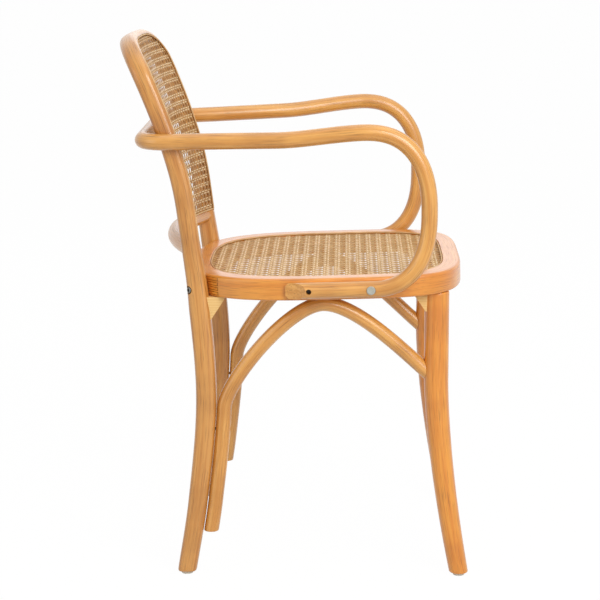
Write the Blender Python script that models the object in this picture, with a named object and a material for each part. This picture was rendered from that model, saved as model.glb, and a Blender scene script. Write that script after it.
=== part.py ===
"""Cane dining armchair: a bent wood frame with a cane seat and a cane back.

Metres, +Z up, +X the front of the chair, +Y its left side. The origin is on the floor, in the middle.
"""
import math

import bmesh
import bpy
from mathutils import Matrix, Vector

# Moves the finished chair so that the middle of its overall box is over the origin
CHAIR_FORWARD = 0.0082

# Fits between touching pieces
GAP = 0.0003
RUN_GAP = 0.0008

# Back hoop: one bent rod that is both rear legs, both uprights and the top of the back.
# Each point is (x, z) on its centre line, seen from the side.
HOOP_FOOT = (-0.167, 0.0)
HOOP_SHIN = (-0.1497, 0.111)
HOOP_KNEE = (-0.1371, 0.265)
HOOP_HIP = (-0.1481, 0.415)
HOOP_LOIN = (-0.1595, 0.497)
HOOP_WAIST = (-0.1705, 0.574)
HOOP_ELBOW = (-0.1845, 0.629)
HOOP_SHOULDER = (-0.2086, 0.698)
HOOP_CROWN = (-0.2466, 0.788)
CHAIR_HEIGHT = 0.797
CROWN_BEND_RISE = 0.060
CROWN_BEND_REACH = 0.137
CROWN_BEND_POWER = 2.7
CROWN_BOW = 0.0125
UPRIGHT_HALF_SPACING = 0.165
REAR_FOOT_SPLAY = 0.039
REAR_SPLAY_START = 0.44
REAR_SPLAY_POWER = 1.1
HOOP_DEPTH_FOOT = 0.028
HOOP_DEPTH_SEAT = 0.032
HOOP_DEPTH_RAIL = 0.028
HOOP_DEPTH_CROWN = 0.0275
HOOP_WIDTH_FOOT = 0.026
HOOP_WIDTH_SEAT = 0.029
HOOP_WIDTH_CROWN = 0.0245
HOOP_THICKEST_HEIGHT = 0.40
HOOP_SECTION_POWER = 3.0
HOOP_SIDES = 12

# Seat: a ring of bent rail and rear rail, sloping down to the rear
SEAT_FRONT_HEIGHT = 0.4615
SEAT_SLOPE_RATIO = 0.030
SEAT_THICKNESS = 0.032
SEAT_MIDDLE_X = 0.055
SEAT_FRONT_REACH = 0.1905
SEAT_REAR_REACH = 0.220
SEAT_HALF_WIDTH = 0.2235
SEAT_FRONT_POWER = 4.0
SEAT_REAR_POWER = 3.1
SEAT_RIM = 0.026
SEAT_LEDGE_WIDTH = 0.014
SEAT_LEDGE_DEPTH = 0.005
SEAT_EDGE_ROUNDING = 0.004
SEAT_OUTLINE_POINTS = 60
FINGER_COUNT = 4
FINGER_LENGTH = 0.010
REAR_RAIL_HALF_LENGTH = 0.124
REAR_RAIL_ROOM = 0.065

# Cane, and the spline that wedges it into its rebate
CANE_THICKNESS = 0.002
CANE_OPENINGS_ACROSS = 12
CANE_OPENING_SHARE = 0.58
CANE_EDGE = 0.004
SPLINE_RADIUS = 0.0012
BACK_CANE_SETBACK = 0.0032
BACK_CANE_LAP = 0.019
BACK_CANE_OVER_RAIL = 0.0085
REBATE_REACH = 0.03
REBATE_SLACK = 0.0006

# Lower rail of the back, bowed to the rear
RAIL_OVER_SEAT = 0.0285
RAIL_HEIGHT = SEAT_FRONT_HEIGHT + RAIL_OVER_SEAT
RAIL_RADIUS = 0.013
RAIL_BOW = 0.034
RAIL_DOWEL_RADIUS = 0.004
RAIL_DOWEL_LENGTH = 0.026

# Front legs, with a round tenon up into the seat
FRONT_LEG_X = 0.206
FRONT_LEG_HALF_SPACING = 0.172
FRONT_FOOT_FORWARD = 0.0372
FRONT_FOOT_SPLAY = 0.032
FRONT_SPLAY_POWER = 1.3
FRONT_BEND_HEIGHT = 0.30
FRONT_BEND_POWER = 1.6
FRONT_LEG_RADIUS_FOOT = 0.014
FRONT_LEG_RADIUS_SHIN = 0.0170
FRONT_LEG_RADIUS_TOP = 0.01825
FRONT_LEG_SHIN_HEIGHT = 0.20
TENON_RADIUS = 0.011
TENON_LENGTH = 0.020

# Arm hoop: one rod from seat side to seat side, round behind the back
ARM_RADIUS = 0.012
ARM_END_X = -0.0176
ARM_END_ROUNDING = 0.004
ARM_END_RADIUS = 0.0075
ARM_LOW_RUN_X = 0.1055
ARM_FRONT_X = 0.191
ARM_TOP_X = 0.0985
ARM_TOP_HEIGHT = 0.682
ARM_FRONT_HEIGHT = 0.552
ARM_REAR_HEIGHT = 0.650
ARM_DIP_SHARE = 0.45
ARM_DIP_REACH = 0.45
ARM_FRONT_HALF_SPACING = 0.235
ARM_BEND_POWER = 2.4
ARM_SEATING = 0.0075
ARM_REAR_BEND_RADIUS = 0.0355
ARM_REAR_CLEARANCE = 0.011

# Side braces: an arch under each side of the seat that runs down the rear leg
BRACE_RADIUS = 0.011
BRACE_SIDES = 10
BRACE_PEAK_X = 0.0385
BRACE_PEAK_INSET = 0.0315
BRACE_PEAK_FRONT_HANDLE = 0.045
BRACE_PEAK_REAR_HANDLE = 0.05
BRACE_FRONT_HEIGHT = 0.311
BRACE_FRONT_ANGLE = math.radians(42)
BRACE_FRONT_HANDLE = 0.05
BRACE_RUN_TOP = 0.25
BRACE_RUN_HANDLE = 0.04
BRACE_RUN_END = 0.065

# Corner blocks under the seat, one at each leg
BLOCK_WIDTH = 0.022
BLOCK_NOSE = 0.004
REAR_BLOCK_REACH = 0.0195
REAR_BLOCK_DROP = 0.033
FRONT_BLOCK_REACH = 0.0155
FRONT_BLOCK_DROP = 0.029
BLOCK_SCREW_FROM_TIP = 0.005
BLOCK_SCREW_DEPTH = 0.006
BLOCK_SCREW_OUTWARD = 0.0065
BLOCK_SCREW_LENGTH = 0.018
BLOCK_SCREW_HEAD_RADIUS = 0.003
BLOCK_SCREW_SHANK_RADIUS = 0.0015

# Bolts through the rear legs
BOLT_HEAD_RADIUS = 0.0048
BOLT_HEAD_HEIGHT = 0.0045
BOLT_SHANK_RADIUS = 0.003
BOLT_LENGTH = 0.072
BOLT_PAST_NUT = 0.002
BOLT_HEIGHT_IN_SEAT = 0.0105
BOLT_SINK = 0.0005
BOLT_INWARD_ANGLE = math.radians(36)
WASHER_RADIUS = 0.0062
WASHER_THICKNESS = 0.0012
NUT_RADIUS = 0.005
NUT_LENGTH = 0.017

# Wood screws, caps and dowels
SCREW_HEAD_RADIUS = 0.0036
SCREW_HEAD_HEIGHT = 0.0025
SCREW_SHANK_RADIUS = 0.002
HOLE_OPENING = 0.02
ARM_SCREW_FRONT_X = 0.1073
ARM_SCREW_REAR_X = 0.0169
ARM_SCREW_RECESS = 0.008
ARM_SCREW_BITE = 0.014
CAP_RADIUS = 0.0066
CAP_FACE_RADIUS = 0.0048
CAP_THICKNESS = 0.0022
CAP_PROUD = 0.0008
ARM_BACK_SCREW_REARWARD = 0.005
BRACE_SCREW_HEIGHT = 0.219
BRACE_SCREW_SINK = 0.001
BRACE_SCREW_BITE = 0.016
DOWEL_RADIUS = 0.004
DOWEL_HALF_LENGTH = 0.011

# Glides under the feet
GLIDE_RADIUS = 0.009
GLIDE_FACE_RADIUS = 0.0076
GLIDE_THICKNESS = 0.004
GLIDE_NAIL_RADIUS = 0.0012
GLIDE_NAIL_LENGTH = 0.012

ROD_SIDES = 12
PIN_SIDES = 9
SPLINE_SIDES = 5
SIDES_OF_CHAIR = {"left": 1.0, "right": -1.0}
UP = Vector((0.0, 0.0, 1.0))
FORWARD = Vector((1.0, 0.0, 0.0))
LEFT = Vector((0.0, 1.0, 0.0))

# Linear colour, roughness and metallic value of each material
MATERIALS = {
    "lacquered_bentwood": ((0.62, 0.27, 0.06), 0.35, 0.0),
    "woven_cane": ((0.58, 0.37, 0.15), 0.6, 0.0),
    "reed_spline": ((0.66, 0.44, 0.20), 0.5, 0.0),
    "raw_softwood": ((0.82, 0.50, 0.16), 0.7, 0.0),
    "blackened_steel": ((0.03, 0.03, 0.028), 0.45, 1.0),
    "zinc_plated_steel": ((0.45, 0.45, 0.43), 0.35, 1.0),
    "grey_cap_plastic": ((0.40, 0.40, 0.35), 0.4, 0.0),
    "nylon_glide": ((0.70, 0.68, 0.62), 0.5, 0.0),
}


# Curves that several pieces share
def hermite(keys, z):
    """x at height z on a smooth curve through (x, z) keys in rising z."""
    last = len(keys) - 1
    i = 0
    while i < last - 1 and z > keys[i + 1][1]:
        i += 1

    def slope(k):
        low = max(k - 1, 0)
        high = min(k + 1, last)
        return (keys[high][0] - keys[low][0]) / (keys[high][1] - keys[low][1])

    (x0, z0), (x1, z1) = keys[i], keys[i + 1]
    span = z1 - z0
    t = (z - z0) / span
    start = (2 * t**3 - 3 * t**2 + 1) * x0 + (t**3 - 2 * t**2 + t) * span * slope(i)
    end = (3 * t**2 - 2 * t**3) * x1 + (t**3 - t**2) * span * slope(i + 1)
    return start + end


def between(keys, z):
    """Value at height z on straight runs between (height, value) keys."""
    if z <= keys[0][0]:
        return keys[0][1]
    for (z0, v0), (z1, v1) in zip(keys, keys[1:]):
        if z <= z1:
            return v0 + (v1 - v0) * (z - z0) / (z1 - z0)
    return keys[-1][1]


def bezier(a, b, c, d, steps):
    """Points along a cubic curve from a up to, but not including, d."""
    points = []
    for k in range(steps):
        t = k / steps
        u = 1 - t
        points.append(a * u**3 + b * (3 * u**2 * t) + c * (3 * u * t**2) + d * t**3)
    return points


def rounded(angle, power):
    """Unit superellipse point at an angle, as (cosine-like, sine-like)."""
    c, s = math.cos(angle), math.sin(angle)
    return (math.copysign(abs(c) ** (2 / power), c), math.copysign(abs(s) ** (2 / power), s))


HOOP_KEYS = [
    HOOP_FOOT,
    HOOP_SHIN,
    HOOP_KNEE,
    HOOP_HIP,
    HOOP_LOIN,
    HOOP_WAIST,
    HOOP_ELBOW,
    HOOP_SHOULDER,
    HOOP_CROWN,
]


def hoop_x(z):
    return hermite(HOOP_KEYS, z)


def hoop_y(z):
    drop = max(0.0, (REAR_SPLAY_START - z) / REAR_SPLAY_START)
    return UPRIGHT_HALF_SPACING + REAR_FOOT_SPLAY * drop**REAR_SPLAY_POWER


def hoop_half_depth(z):
    keys = [
        (0.0, HOOP_DEPTH_FOOT),
        (HOOP_THICKEST_HEIGHT, HOOP_DEPTH_SEAT),
        (RAIL_HEIGHT, HOOP_DEPTH_RAIL),
        (CHAIR_HEIGHT, HOOP_DEPTH_CROWN),
    ]
    return between(keys, z) / 2


def hoop_half_width(z):
    keys = [(0.0, HOOP_WIDTH_FOOT), (HOOP_THICKEST_HEIGHT, HOOP_WIDTH_SEAT), (CHAIR_HEIGHT, HOOP_WIDTH_CROWN)]
    return between(keys, z) / 2


def hoop_lean(z):
    """Unit vector square to the back, pointing forward, at height z."""
    step = 0.002
    slope = (hoop_x(z + step) - hoop_x(z - step)) / (2 * step)
    return Vector((1.0, 0.0, -slope)).normalized()


def hoop_front(z):
    """x of the hoop's front face, measured level at height z."""
    return hoop_x(z) + hoop_half_depth(z) / hoop_lean(z).x


def hoop_rear(z):
    return hoop_x(z) - hoop_half_depth(z) / hoop_lean(z).x


def crown_spring():
    """Height where the uprights begin to bend over into the top of the back."""
    return CHAIR_HEIGHT - HOOP_WIDTH_CROWN / 2 - CROWN_BEND_RISE


def sag(y):
    """Share of the back's bow at y: all of it in the middle, none at the uprights."""
    return max(0.0, 1 - (y / UPRIGHT_HALF_SPACING) ** 2)


def crown_bend(angle, grow):
    """Height and half width of the crown's bend at an angle, moved outward by grow."""
    c, s = rounded(angle, CROWN_BEND_POWER)
    y = UPRIGHT_HALF_SPACING - CROWN_BEND_REACH + (CROWN_BEND_REACH + grow) * c
    return crown_spring() + (CROWN_BEND_RISE + grow) * s, y


def seat_top(x):
    return SEAT_FRONT_HEIGHT + SEAT_SLOPE_RATIO * (x - SEAT_MIDDLE_X - SEAT_FRONT_REACH)


def seat_bottom(x):
    return seat_top(x) - SEAT_THICKNESS


def seat_outline(shrink):
    """Closed rounded outline of the seat, drawn in by shrink all round."""
    points = []
    for k in range(SEAT_OUTLINE_POINTS):
        angle = 2 * math.pi * k / SEAT_OUTLINE_POINTS
        ahead = math.cos(angle) >= 0
        c, s = rounded(angle, SEAT_FRONT_POWER if ahead else SEAT_REAR_POWER)
        reach = SEAT_FRONT_REACH if ahead else SEAT_REAR_REACH
        points.append((SEAT_MIDDLE_X + (reach - shrink) * c, (SEAT_HALF_WIDTH - shrink) * s))
    return points


def seat_square():
    """Unit vector square to the seat, pointing up."""
    return Vector((-SEAT_SLOPE_RATIO, 0.0, 1.0)).normalized()


def front_leg_height():
    return seat_bottom(FRONT_LEG_X) - GAP


def front_leg_point(z, side):
    low = max(0.0, (FRONT_BEND_HEIGHT - z) / FRONT_BEND_HEIGHT)
    drop = max(0.0, (front_leg_height() - z) / front_leg_height())
    x = FRONT_LEG_X + FRONT_FOOT_FORWARD * low**FRONT_BEND_POWER
    y = FRONT_LEG_HALF_SPACING + FRONT_FOOT_SPLAY * drop**FRONT_SPLAY_POWER
    return Vector((x, y * side, z))


def front_leg_radius(z):
    keys = [
        (0.0, FRONT_LEG_RADIUS_FOOT),
        (FRONT_LEG_SHIN_HEIGHT, FRONT_LEG_RADIUS_SHIN),
        (FRONT_BEND_HEIGHT, FRONT_LEG_RADIUS_TOP),
    ]
    return between(keys, z)


# Mesh makers
def material(name):
    """Principled material of the given name, made once."""
    if name in bpy.data.materials:
        return bpy.data.materials[name]
    colour, roughness, metallic = MATERIALS[name]
    made = bpy.data.materials.new(name)
    made.use_nodes = True
    shader = made.node_tree.nodes["Principled BSDF"]
    shader.inputs["Base Color"].default_value = (*colour, 1.0)
    shader.inputs["Roughness"].default_value = roughness
    shader.inputs["Metallic"].default_value = metallic
    return made


def finish(name, bm, finish_name=None, parent=None):
    """Turn a bmesh into a named object, smooth shaded, with its material; a cutter if it has none."""
    bmesh.ops.recalc_face_normals(bm, faces=bm.faces)
    mesh = bpy.data.meshes.new(name)
    bm.to_mesh(mesh)
    bm.free()
    piece = bpy.data.objects.new(name, mesh)
    piece.parent = parent
    if parent is None:
        piece.location.x = CHAIR_FORWARD
    bpy.context.scene.collection.objects.link(piece)
    if finish_name:
        mesh.materials.append(material(finish_name))
        mesh.shade_smooth()
        mesh.set_sharp_from_angle(angle=math.radians(40))
    else:
        piece.hide_render = True
        piece.display_type = "WIRE"
    return piece


def skin(rings, closed=False):
    """Join rings of points into a tube, with flat ends unless it closes on itself."""
    bm = bmesh.new()
    loops = [[bm.verts.new(p) for p in ring] for ring in rings]
    count = len(loops[0])
    pairs = list(zip(loops, loops[1:]))
    if closed:
        pairs.append((loops[-1], loops[0]))
    for a, b in pairs:
        for k in range(count):
            bm.faces.new((a[k], a[(k + 1) % count], b[(k + 1) % count], b[k]))
    if not closed:
        bm.faces.new(loops[0])
        bm.faces.new(loops[-1])
    return bm


def ring_of_points(centre, across, along, half_across, half_along, sides, power=2.0):
    points = []
    for k in range(sides):
        c, s = rounded(2 * math.pi * k / sides, power)
        points.append(centre + across * (half_across * c) + along * (half_along * s))
    return points


def directions(route, closed=False):
    """Unit direction of travel at each point of a route."""
    last = len(route) - 1
    found = []
    for k in range(len(route)):
        before = route[k - 1] if closed or k > 0 else route[0]
        after = route[(k + 1) % len(route)] if closed or k < last else route[last]
        found.append((after - before).normalized())
    return found


def rod(route, radii, sides=ROD_SIDES, closed=False, first=None, last=None):
    """Round rod along a route; first and last are directions to cut its ends square to."""
    ways = directions(route, closed)
    ways[0] = first or ways[0]
    ways[-1] = last or ways[-1]
    across = ways[0].orthogonal().normalized()
    rings = []
    for point, way, radius in zip(route, ways, radii):
        across = (across - way * across.dot(way)).normalized()
        along = way.cross(across)
        rings.append(ring_of_points(point, across, along, radius, radius, sides))
    return skin(rings, closed)


def turned(base, axis, profile, sides=PIN_SIDES):
    """Solid turned about an axis from (distance along it, radius) steps."""
    axis = axis.normalized()
    across = axis.orthogonal().normalized()
    along = axis.cross(across)
    return skin([ring_of_points(base + axis * d, across, along, r, r, sides) for d, r in profile])


def prism(outline, low, high):
    """Upright solid over a closed outline of (x, y) points."""
    return skin([[Vector((x, y, low)) for x, y in outline], [Vector((x, y, high)) for x, y in outline]])


def box(low, high):
    corners = [(low.x, low.y), (high.x, low.y), (high.x, high.y), (low.x, high.y)]
    return prism(corners, low.z, high.z)


def blocks(corners):
    """Square blocks that don't touch, each between two corners, as one mesh."""
    bm = bmesh.new()
    for low, high in corners:
        place = Matrix.Translation((low + high) / 2) @ Matrix.Diagonal((*(high - low), 1.0))
        bmesh.ops.create_cube(bm, size=1.0, matrix=place)
    return bm


def grid_openings(half_width, low, high):
    """Rectangles of a square grid over a panel, each as (left, lower, right, upper)."""
    pitch = 2 * half_width / CANE_OPENINGS_ACROSS
    reach = pitch * CANE_OPENING_SHARE / 2
    rows = int((high - low) / pitch)
    start = (low + high - rows * pitch) / 2
    openings = []
    for i in range(rows):
        v = start + pitch * (i + 0.5)
        for k in range(CANE_OPENINGS_ACROSS):
            u = pitch * (k + 0.5) - half_width
            openings.append((u - reach, v - reach, u + reach, v + reach))
    return openings


def slab(front, back):
    """Closed panel between two grids of points with the same rows and columns."""
    bm = bmesh.new()
    faces = [[[bm.verts.new(p) for p in row] for row in grid] for grid in (front, back)]
    rows, columns = len(front), len(front[0])
    for grid in faces:
        for i in range(rows - 1):
            for k in range(columns - 1):
                bm.faces.new((grid[i][k], grid[i][k + 1], grid[i + 1][k + 1], grid[i + 1][k]))
    rim = [(0, k) for k in range(columns - 1)] + [(i, columns - 1) for i in range(rows - 1)]
    rim += [(rows - 1, k) for k in range(columns - 1, 0, -1)] + [(i, 0) for i in range(rows - 1, 0, -1)]
    for (i, k), (m, n) in zip(rim, rim[1:] + rim[:1]):
        bm.faces.new((faces[0][i][k], faces[0][m][n], faces[1][m][n], faces[1][i][k]))
    return bm


def cut(piece, cutter, operation="DIFFERENCE"):
    boolean = piece.modifiers.new("cut", "BOOLEAN")
    boolean.object = cutter
    boolean.operation = operation
    boolean.solver = "EXACT"


def screw_profile(length, head_radius, head_height, shank_radius, grow=0.0, opening=0.0):
    """Head and shank steps; with grow and opening it is the hole that takes the screw."""
    return [
        (-opening, head_radius + grow),
        (head_height + grow, head_radius + grow),
        (head_height + grow, shank_radius + grow),
        (length + grow, shank_radius + grow),
    ]


def screw(name, base, axis, length, finish_name, pieces, head=SCREW_HEAD_RADIUS, shank=SCREW_SHANK_RADIUS):
    """Screw with its head's face at base, and its hole in each piece that it goes through."""
    shape = (length, head, SCREW_HEAD_HEIGHT, shank)
    finish(name, turned(base, axis, screw_profile(*shape)), finish_name)
    hole = finish(name + "_hole", turned(base, axis, screw_profile(*shape, GAP, HOLE_OPENING)))
    for piece in pieces:
        cut(piece, hole)


def dowel(name, start, axis, length, radius, pieces):
    """Wooden pin from start along an axis, and its bore in each piece that it joins."""
    finish(name, turned(start, axis, [(0.0, radius), (length, radius)]), "raw_softwood")
    bore = radius + GAP
    hole = finish(name + "_hole", turned(start, axis, [(-GAP, bore), (length + GAP, bore)]))
    for piece in pieces:
        cut(piece, hole)


# Back
def hoop_route():
    """Centre line of the hoop from the right foot over the crown to the left foot."""
    spring = crown_spring()
    sole = GLIDE_THICKNESS + GAP
    leg_steps = 20
    bend_steps = 9
    half = []
    for k in range(leg_steps):
        z = sole + (spring - sole) * k / leg_steps
        half.append(Vector((hoop_x(z), hoop_y(z), z)))
    for k in range(bend_steps + 1):
        z, y = crown_bend(math.pi / 2 * k / bend_steps, 0.0)
        half.append(Vector((hoop_x(z) - CROWN_BOW * sag(y), y, z)))
    right = [Vector((p.x, -p.y, p.z)) for p in half]
    top = half[-1].z
    middle = Vector((hoop_x(top) - CROWN_BOW, 0.0, top))
    return right + [middle] + half[::-1]


def hoop_mesh(grow=0.0):
    """Mesh of the hoop; grow makes the clearance shape that its neighbours are cut with."""
    route = hoop_route()
    ways = directions(route)
    ways[0] = UP
    ways[-1] = -UP
    rings = []
    for point, way in zip(route, ways):
        front = hoop_lean(point.z)
        front = (front - way * front.dot(way)).normalized()
        depth = hoop_half_depth(point.z) + grow
        width = hoop_half_width(point.z) + grow
        side = way.cross(front)
        rings.append(ring_of_points(point, front, side, depth, width, HOOP_SIDES, HOOP_SECTION_POWER))
    return skin(rings)


def rail_point(y):
    """Centre line of the bowed lower rail."""
    return Vector((hoop_x(RAIL_HEIGHT) - RAIL_BOW * sag(y), y, RAIL_HEIGHT))


def build_back():
    """Hoop, lower rail with its dowels, cane and spline."""
    hoop = finish("back_hoop", hoop_mesh(), "lacquered_bentwood")
    clearance = finish("back_hoop_clearance", hoop_mesh(GAP))
    steps = 16
    end = UPRIGHT_HALF_SPACING
    route = [rail_point(-end + 2 * end * k / steps) for k in range(steps + 1)]
    rail = finish("back_lower_rail", rod(route, [RAIL_RADIUS] * len(route)), "lacquered_bentwood")
    cut(rail, clearance)
    joint_y = UPRIGHT_HALF_SPACING - hoop_half_width(RAIL_HEIGHT)
    for name, side in SIDES_OF_CHAIR.items():
        way = (rail_point(side * end) - rail_point(side * joint_y)).normalized()
        start = rail_point(side * joint_y) - way * (RAIL_DOWEL_LENGTH / 2)
        dowel("back_rail_dowel_" + name, start, way, RAIL_DOWEL_LENGTH, RAIL_DOWEL_RADIUS, (rail, hoop))
    build_back_cane(hoop, rail)
    return hoop, clearance


def back_cane_over(grow):
    """Distance of the cane's edge outside the hoop's centre line."""
    return BACK_CANE_LAP - hoop_half_width(crown_spring()) + grow


def back_cane_rows(grow):
    """Heights and half widths of the cane back, from the lower rail to under the crown."""
    spring = crown_spring()
    bottom = RAIL_HEIGHT + BACK_CANE_OVER_RAIL - grow
    over = back_cane_over(grow)
    upright_rows = 6
    bend_rows = 7
    half = UPRIGHT_HALF_SPACING + over
    rows = [(bottom + (spring - bottom) * k / upright_rows, half) for k in range(upright_rows)]
    return rows + [crown_bend(math.pi / 2 * k / bend_rows, over) for k in range(bend_rows + 1)]


def back_cane_point(z, y):
    """Point of the cane's middle surface: bowed like the rail at its foot, like the crown at its top."""
    rise = (z - RAIL_HEIGHT) / (CHAIR_HEIGHT - RAIL_HEIGHT)
    bow = RAIL_BOW + (CROWN_BOW - RAIL_BOW) * rise
    return Vector((hoop_front(z) - BACK_CANE_SETBACK - bow * sag(y), y, z))


def back_cane_grid(grow, forward):
    """Grid of points at a distance square to the cane's middle surface."""
    columns = 10
    grid = []
    for z, half in back_cane_rows(grow):
        line = [back_cane_point(z, half * (2 * k / columns - 1)) for k in range(columns + 1)]
        grid.append([p + hoop_lean(z) * forward for p in line])
    return grid


def back_cane_half(z, grow):
    """Half width of the cane back at a height under its top."""
    over = back_cane_over(grow)
    share = min(1.0, max(0.0, z - crown_spring()) / (CROWN_BEND_RISE + over))
    level = (1 - share**CROWN_BEND_POWER) ** (1 / CROWN_BEND_POWER)
    return UPRIGHT_HALF_SPACING - CROWN_BEND_REACH + (CROWN_BEND_REACH + over) * level


def back_cane_openings():
    """Blocks that open the back's cane, clear of the hoop and the rail."""
    edge = BACK_CANE_LAP + CANE_EDGE
    rear = HOOP_CROWN[0] - RAIL_BOW - REBATE_REACH
    low = RAIL_HEIGHT + RAIL_RADIUS + CANE_EDGE
    high = back_cane_rows(-edge)[-1][0]
    corners = []
    for left, lower, right, upper in grid_openings(back_cane_half(low, -edge), low, high):
        if max(abs(left), abs(right)) <= back_cane_half(upper, -edge):
            corners.append((Vector((rear, left, lower)), Vector((0.0, right, upper))))
    return blocks(corners)


def build_back_cane(hoop, rail):
    """Cane in a rebate that is open to the front, with the spline lying on its edge."""
    half = CANE_THICKNESS / 2
    cane = finish("back_cane", slab(back_cane_grid(0.0, half), back_cane_grid(0.0, -half)), "woven_cane")
    cut(cane, finish("back_cane_openings", back_cane_openings()))
    floor = -half - REBATE_SLACK
    rebate_mesh = slab(back_cane_grid(REBATE_SLACK, REBATE_REACH), back_cane_grid(REBATE_SLACK, floor))
    rebate = finish("back_cane_rebate", rebate_mesh)
    cut(hoop, rebate)
    cut(rail, rebate)
    stand = half + GAP + SPLINE_RADIUS
    rows = back_cane_rows(-SPLINE_RADIUS)
    right = [back_cane_point(z, -y) + hoop_lean(z) * stand for z, y in rows]
    left = [Vector((p.x, -p.y, p.z)) for p in reversed(right)]
    low, reach = rows[0]
    steps = 10
    forward = hoop_lean(low) * stand
    foot = [back_cane_point(low, reach * (1 - 2 * k / steps)) + forward for k in range(1, steps)]
    loop = right + left + foot
    spline = rod(loop, [SPLINE_RADIUS] * len(loop), SPLINE_SIDES, closed=True)
    finish("back_cane_spline", spline, "reed_spline")


# Seat
def seat_pose():
    """Empty that carries the seat pieces at the seat's height and slope."""
    pose = bpy.data.objects.new("seat_pose", None)
    pose.location = (CHAIR_FORWARD, 0.0, seat_top(0.0))
    pose.rotation_euler = (0.0, -math.atan(SEAT_SLOPE_RATIO), 0.0)
    bpy.context.scene.collection.objects.link(pose)
    return pose


def finger_face():
    """x where the fingers of the rear rail end, a finger's length ahead of the rear legs."""
    return hoop_front(seat_bottom(HOOP_HIP[0])) + FINGER_LENGTH


def rear_rail_shape(name, pose, grow):
    """Block that holds the rear rail, with the fingers that run out to the sides of the seat."""
    rear = SEAT_MIDDLE_X - SEAT_REAR_REACH - SEAT_THICKNESS
    front = rear + REAR_RAIL_ROOM + SEAT_THICKNESS + grow
    reach = REAR_RAIL_HALF_LENGTH + grow
    low = Vector((rear, -reach, -2 * SEAT_THICKNESS))
    high = Vector((front, reach, SEAT_THICKNESS))
    block = finish(name, box(low, high), parent=pose)
    layer = SEAT_THICKNESS / (2 * FINGER_COUNT + 1)
    for k in range(FINGER_COUNT):
        z = -SEAT_THICKNESS + layer * (2 * k + 1)
        low = Vector((rear + GAP, -SEAT_HALF_WIDTH - SEAT_RIM, z - grow))
        high = Vector((finger_face() + grow, SEAT_HALF_WIDTH + SEAT_RIM, z + layer + grow))
        cut(block, finish(name + "_finger_" + str(k), box(low, high), parent=pose), "UNION")
    return block


def seat_holds(x, y, shrink):
    """Whether a point lies inside the seat's outline, drawn in by shrink."""
    ahead = x >= SEAT_MIDDLE_X
    power = SEAT_FRONT_POWER if ahead else SEAT_REAR_POWER
    reach = (SEAT_FRONT_REACH if ahead else SEAT_REAR_REACH) - shrink
    return abs((x - SEAT_MIDDLE_X) / reach) ** power + abs(y / (SEAT_HALF_WIDTH - shrink)) ** power <= 1


def seat_cane_openings():
    """Blocks that open the seat's cane, clear of the ledge."""
    shrink = SEAT_RIM + SEAT_LEDGE_WIDTH + CANE_EDGE
    rear = SEAT_MIDDLE_X - SEAT_REAR_REACH + shrink
    front = SEAT_MIDDLE_X + SEAT_FRONT_REACH - shrink
    corners = []
    for left, lower, right, upper in grid_openings(SEAT_HALF_WIDTH - shrink, rear, front):
        if all(seat_holds(x, y, shrink) for x in (lower, upper) for y in (left, right)):
            low = Vector((lower, left, -SEAT_THICKNESS))
            corners.append((low, Vector((upper, right, SEAT_THICKNESS))))
    return blocks(corners)


def build_seat(pose, hoop_clearance):
    """Bent rail, rear rail, cane and spline; returns the two rails."""
    through = prism(seat_outline(SEAT_RIM + SEAT_LEDGE_WIDTH), -2 * SEAT_THICKNESS, SEAT_THICKNESS)
    opening = finish("seat_opening", through, parent=pose)
    ledge_mesh = prism(seat_outline(SEAT_RIM), -SEAT_LEDGE_DEPTH, SEAT_THICKNESS)
    ledge = finish("seat_ledge", ledge_mesh, parent=pose)
    rear_part = rear_rail_shape("seat_rear_part", pose, 0.0)
    rear_room = rear_rail_shape("seat_rear_room", pose, GAP)
    rails = []
    for name, divider, operation in (
        ("seat_bent_rail", rear_room, "DIFFERENCE"),
        ("seat_rear_rail", rear_part, "INTERSECT"),
    ):
        ring = prism(seat_outline(0.0), -SEAT_THICKNESS, 0.0)
        rail = finish(name, ring, "lacquered_bentwood", pose)
        bevel = rail.modifiers.new("rounding", "BEVEL")
        bevel.width = SEAT_EDGE_ROUNDING
        bevel.segments = 2
        bevel.limit_method = "ANGLE"
        bevel.angle_limit = math.radians(60)
        for cutter in (opening, ledge, hoop_clearance):
            cut(rail, cutter)
        cut(rail, divider, operation)
        rails.append(rail)
    low = -SEAT_LEDGE_DEPTH + GAP
    high = low + CANE_THICKNESS
    cane = finish("seat_cane", prism(seat_outline(SEAT_RIM + GAP), low, high), "woven_cane", pose)
    cut(cane, finish("seat_cane_openings", seat_cane_openings(), parent=pose))
    z = high + GAP + SPLINE_RADIUS
    loop = [Vector((x, y, z)) for x, y in seat_outline(SEAT_RIM + 2 * GAP + SPLINE_RADIUS)]
    spline = rod(loop, [SPLINE_RADIUS] * len(loop), SPLINE_SIDES, closed=True)
    finish("seat_cane_spline", spline, "reed_spline", pose)
    return rails


# Legs, arms and braces
def front_leg_mesh(side, grow=0.0):
    steps = 18
    sole = GLIDE_THICKNESS + GAP
    heights = [sole + (front_leg_height() - sole) * k / steps for k in range(steps + 1)]
    route = [front_leg_point(z, side) for z in heights]
    radii = [front_leg_radius(z) + grow for z in heights]
    return rod(route, radii, first=UP, last=seat_square())


def add_tenon(bm):
    """Step the leg's top in to a round tenon."""
    bmesh.ops.recalc_face_normals(bm, faces=bm.faces)
    top = max(bm.faces, key=lambda face: face.calc_center_median().z)
    bmesh.ops.inset_region(bm, faces=[top], thickness=FRONT_LEG_RADIUS_TOP - TENON_RADIUS)
    tip = bmesh.ops.extrude_discrete_faces(bm, faces=[top])["faces"][0]
    bmesh.ops.translate(bm, verts=tip.verts, vec=seat_square() * TENON_LENGTH)
    return bm


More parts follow.
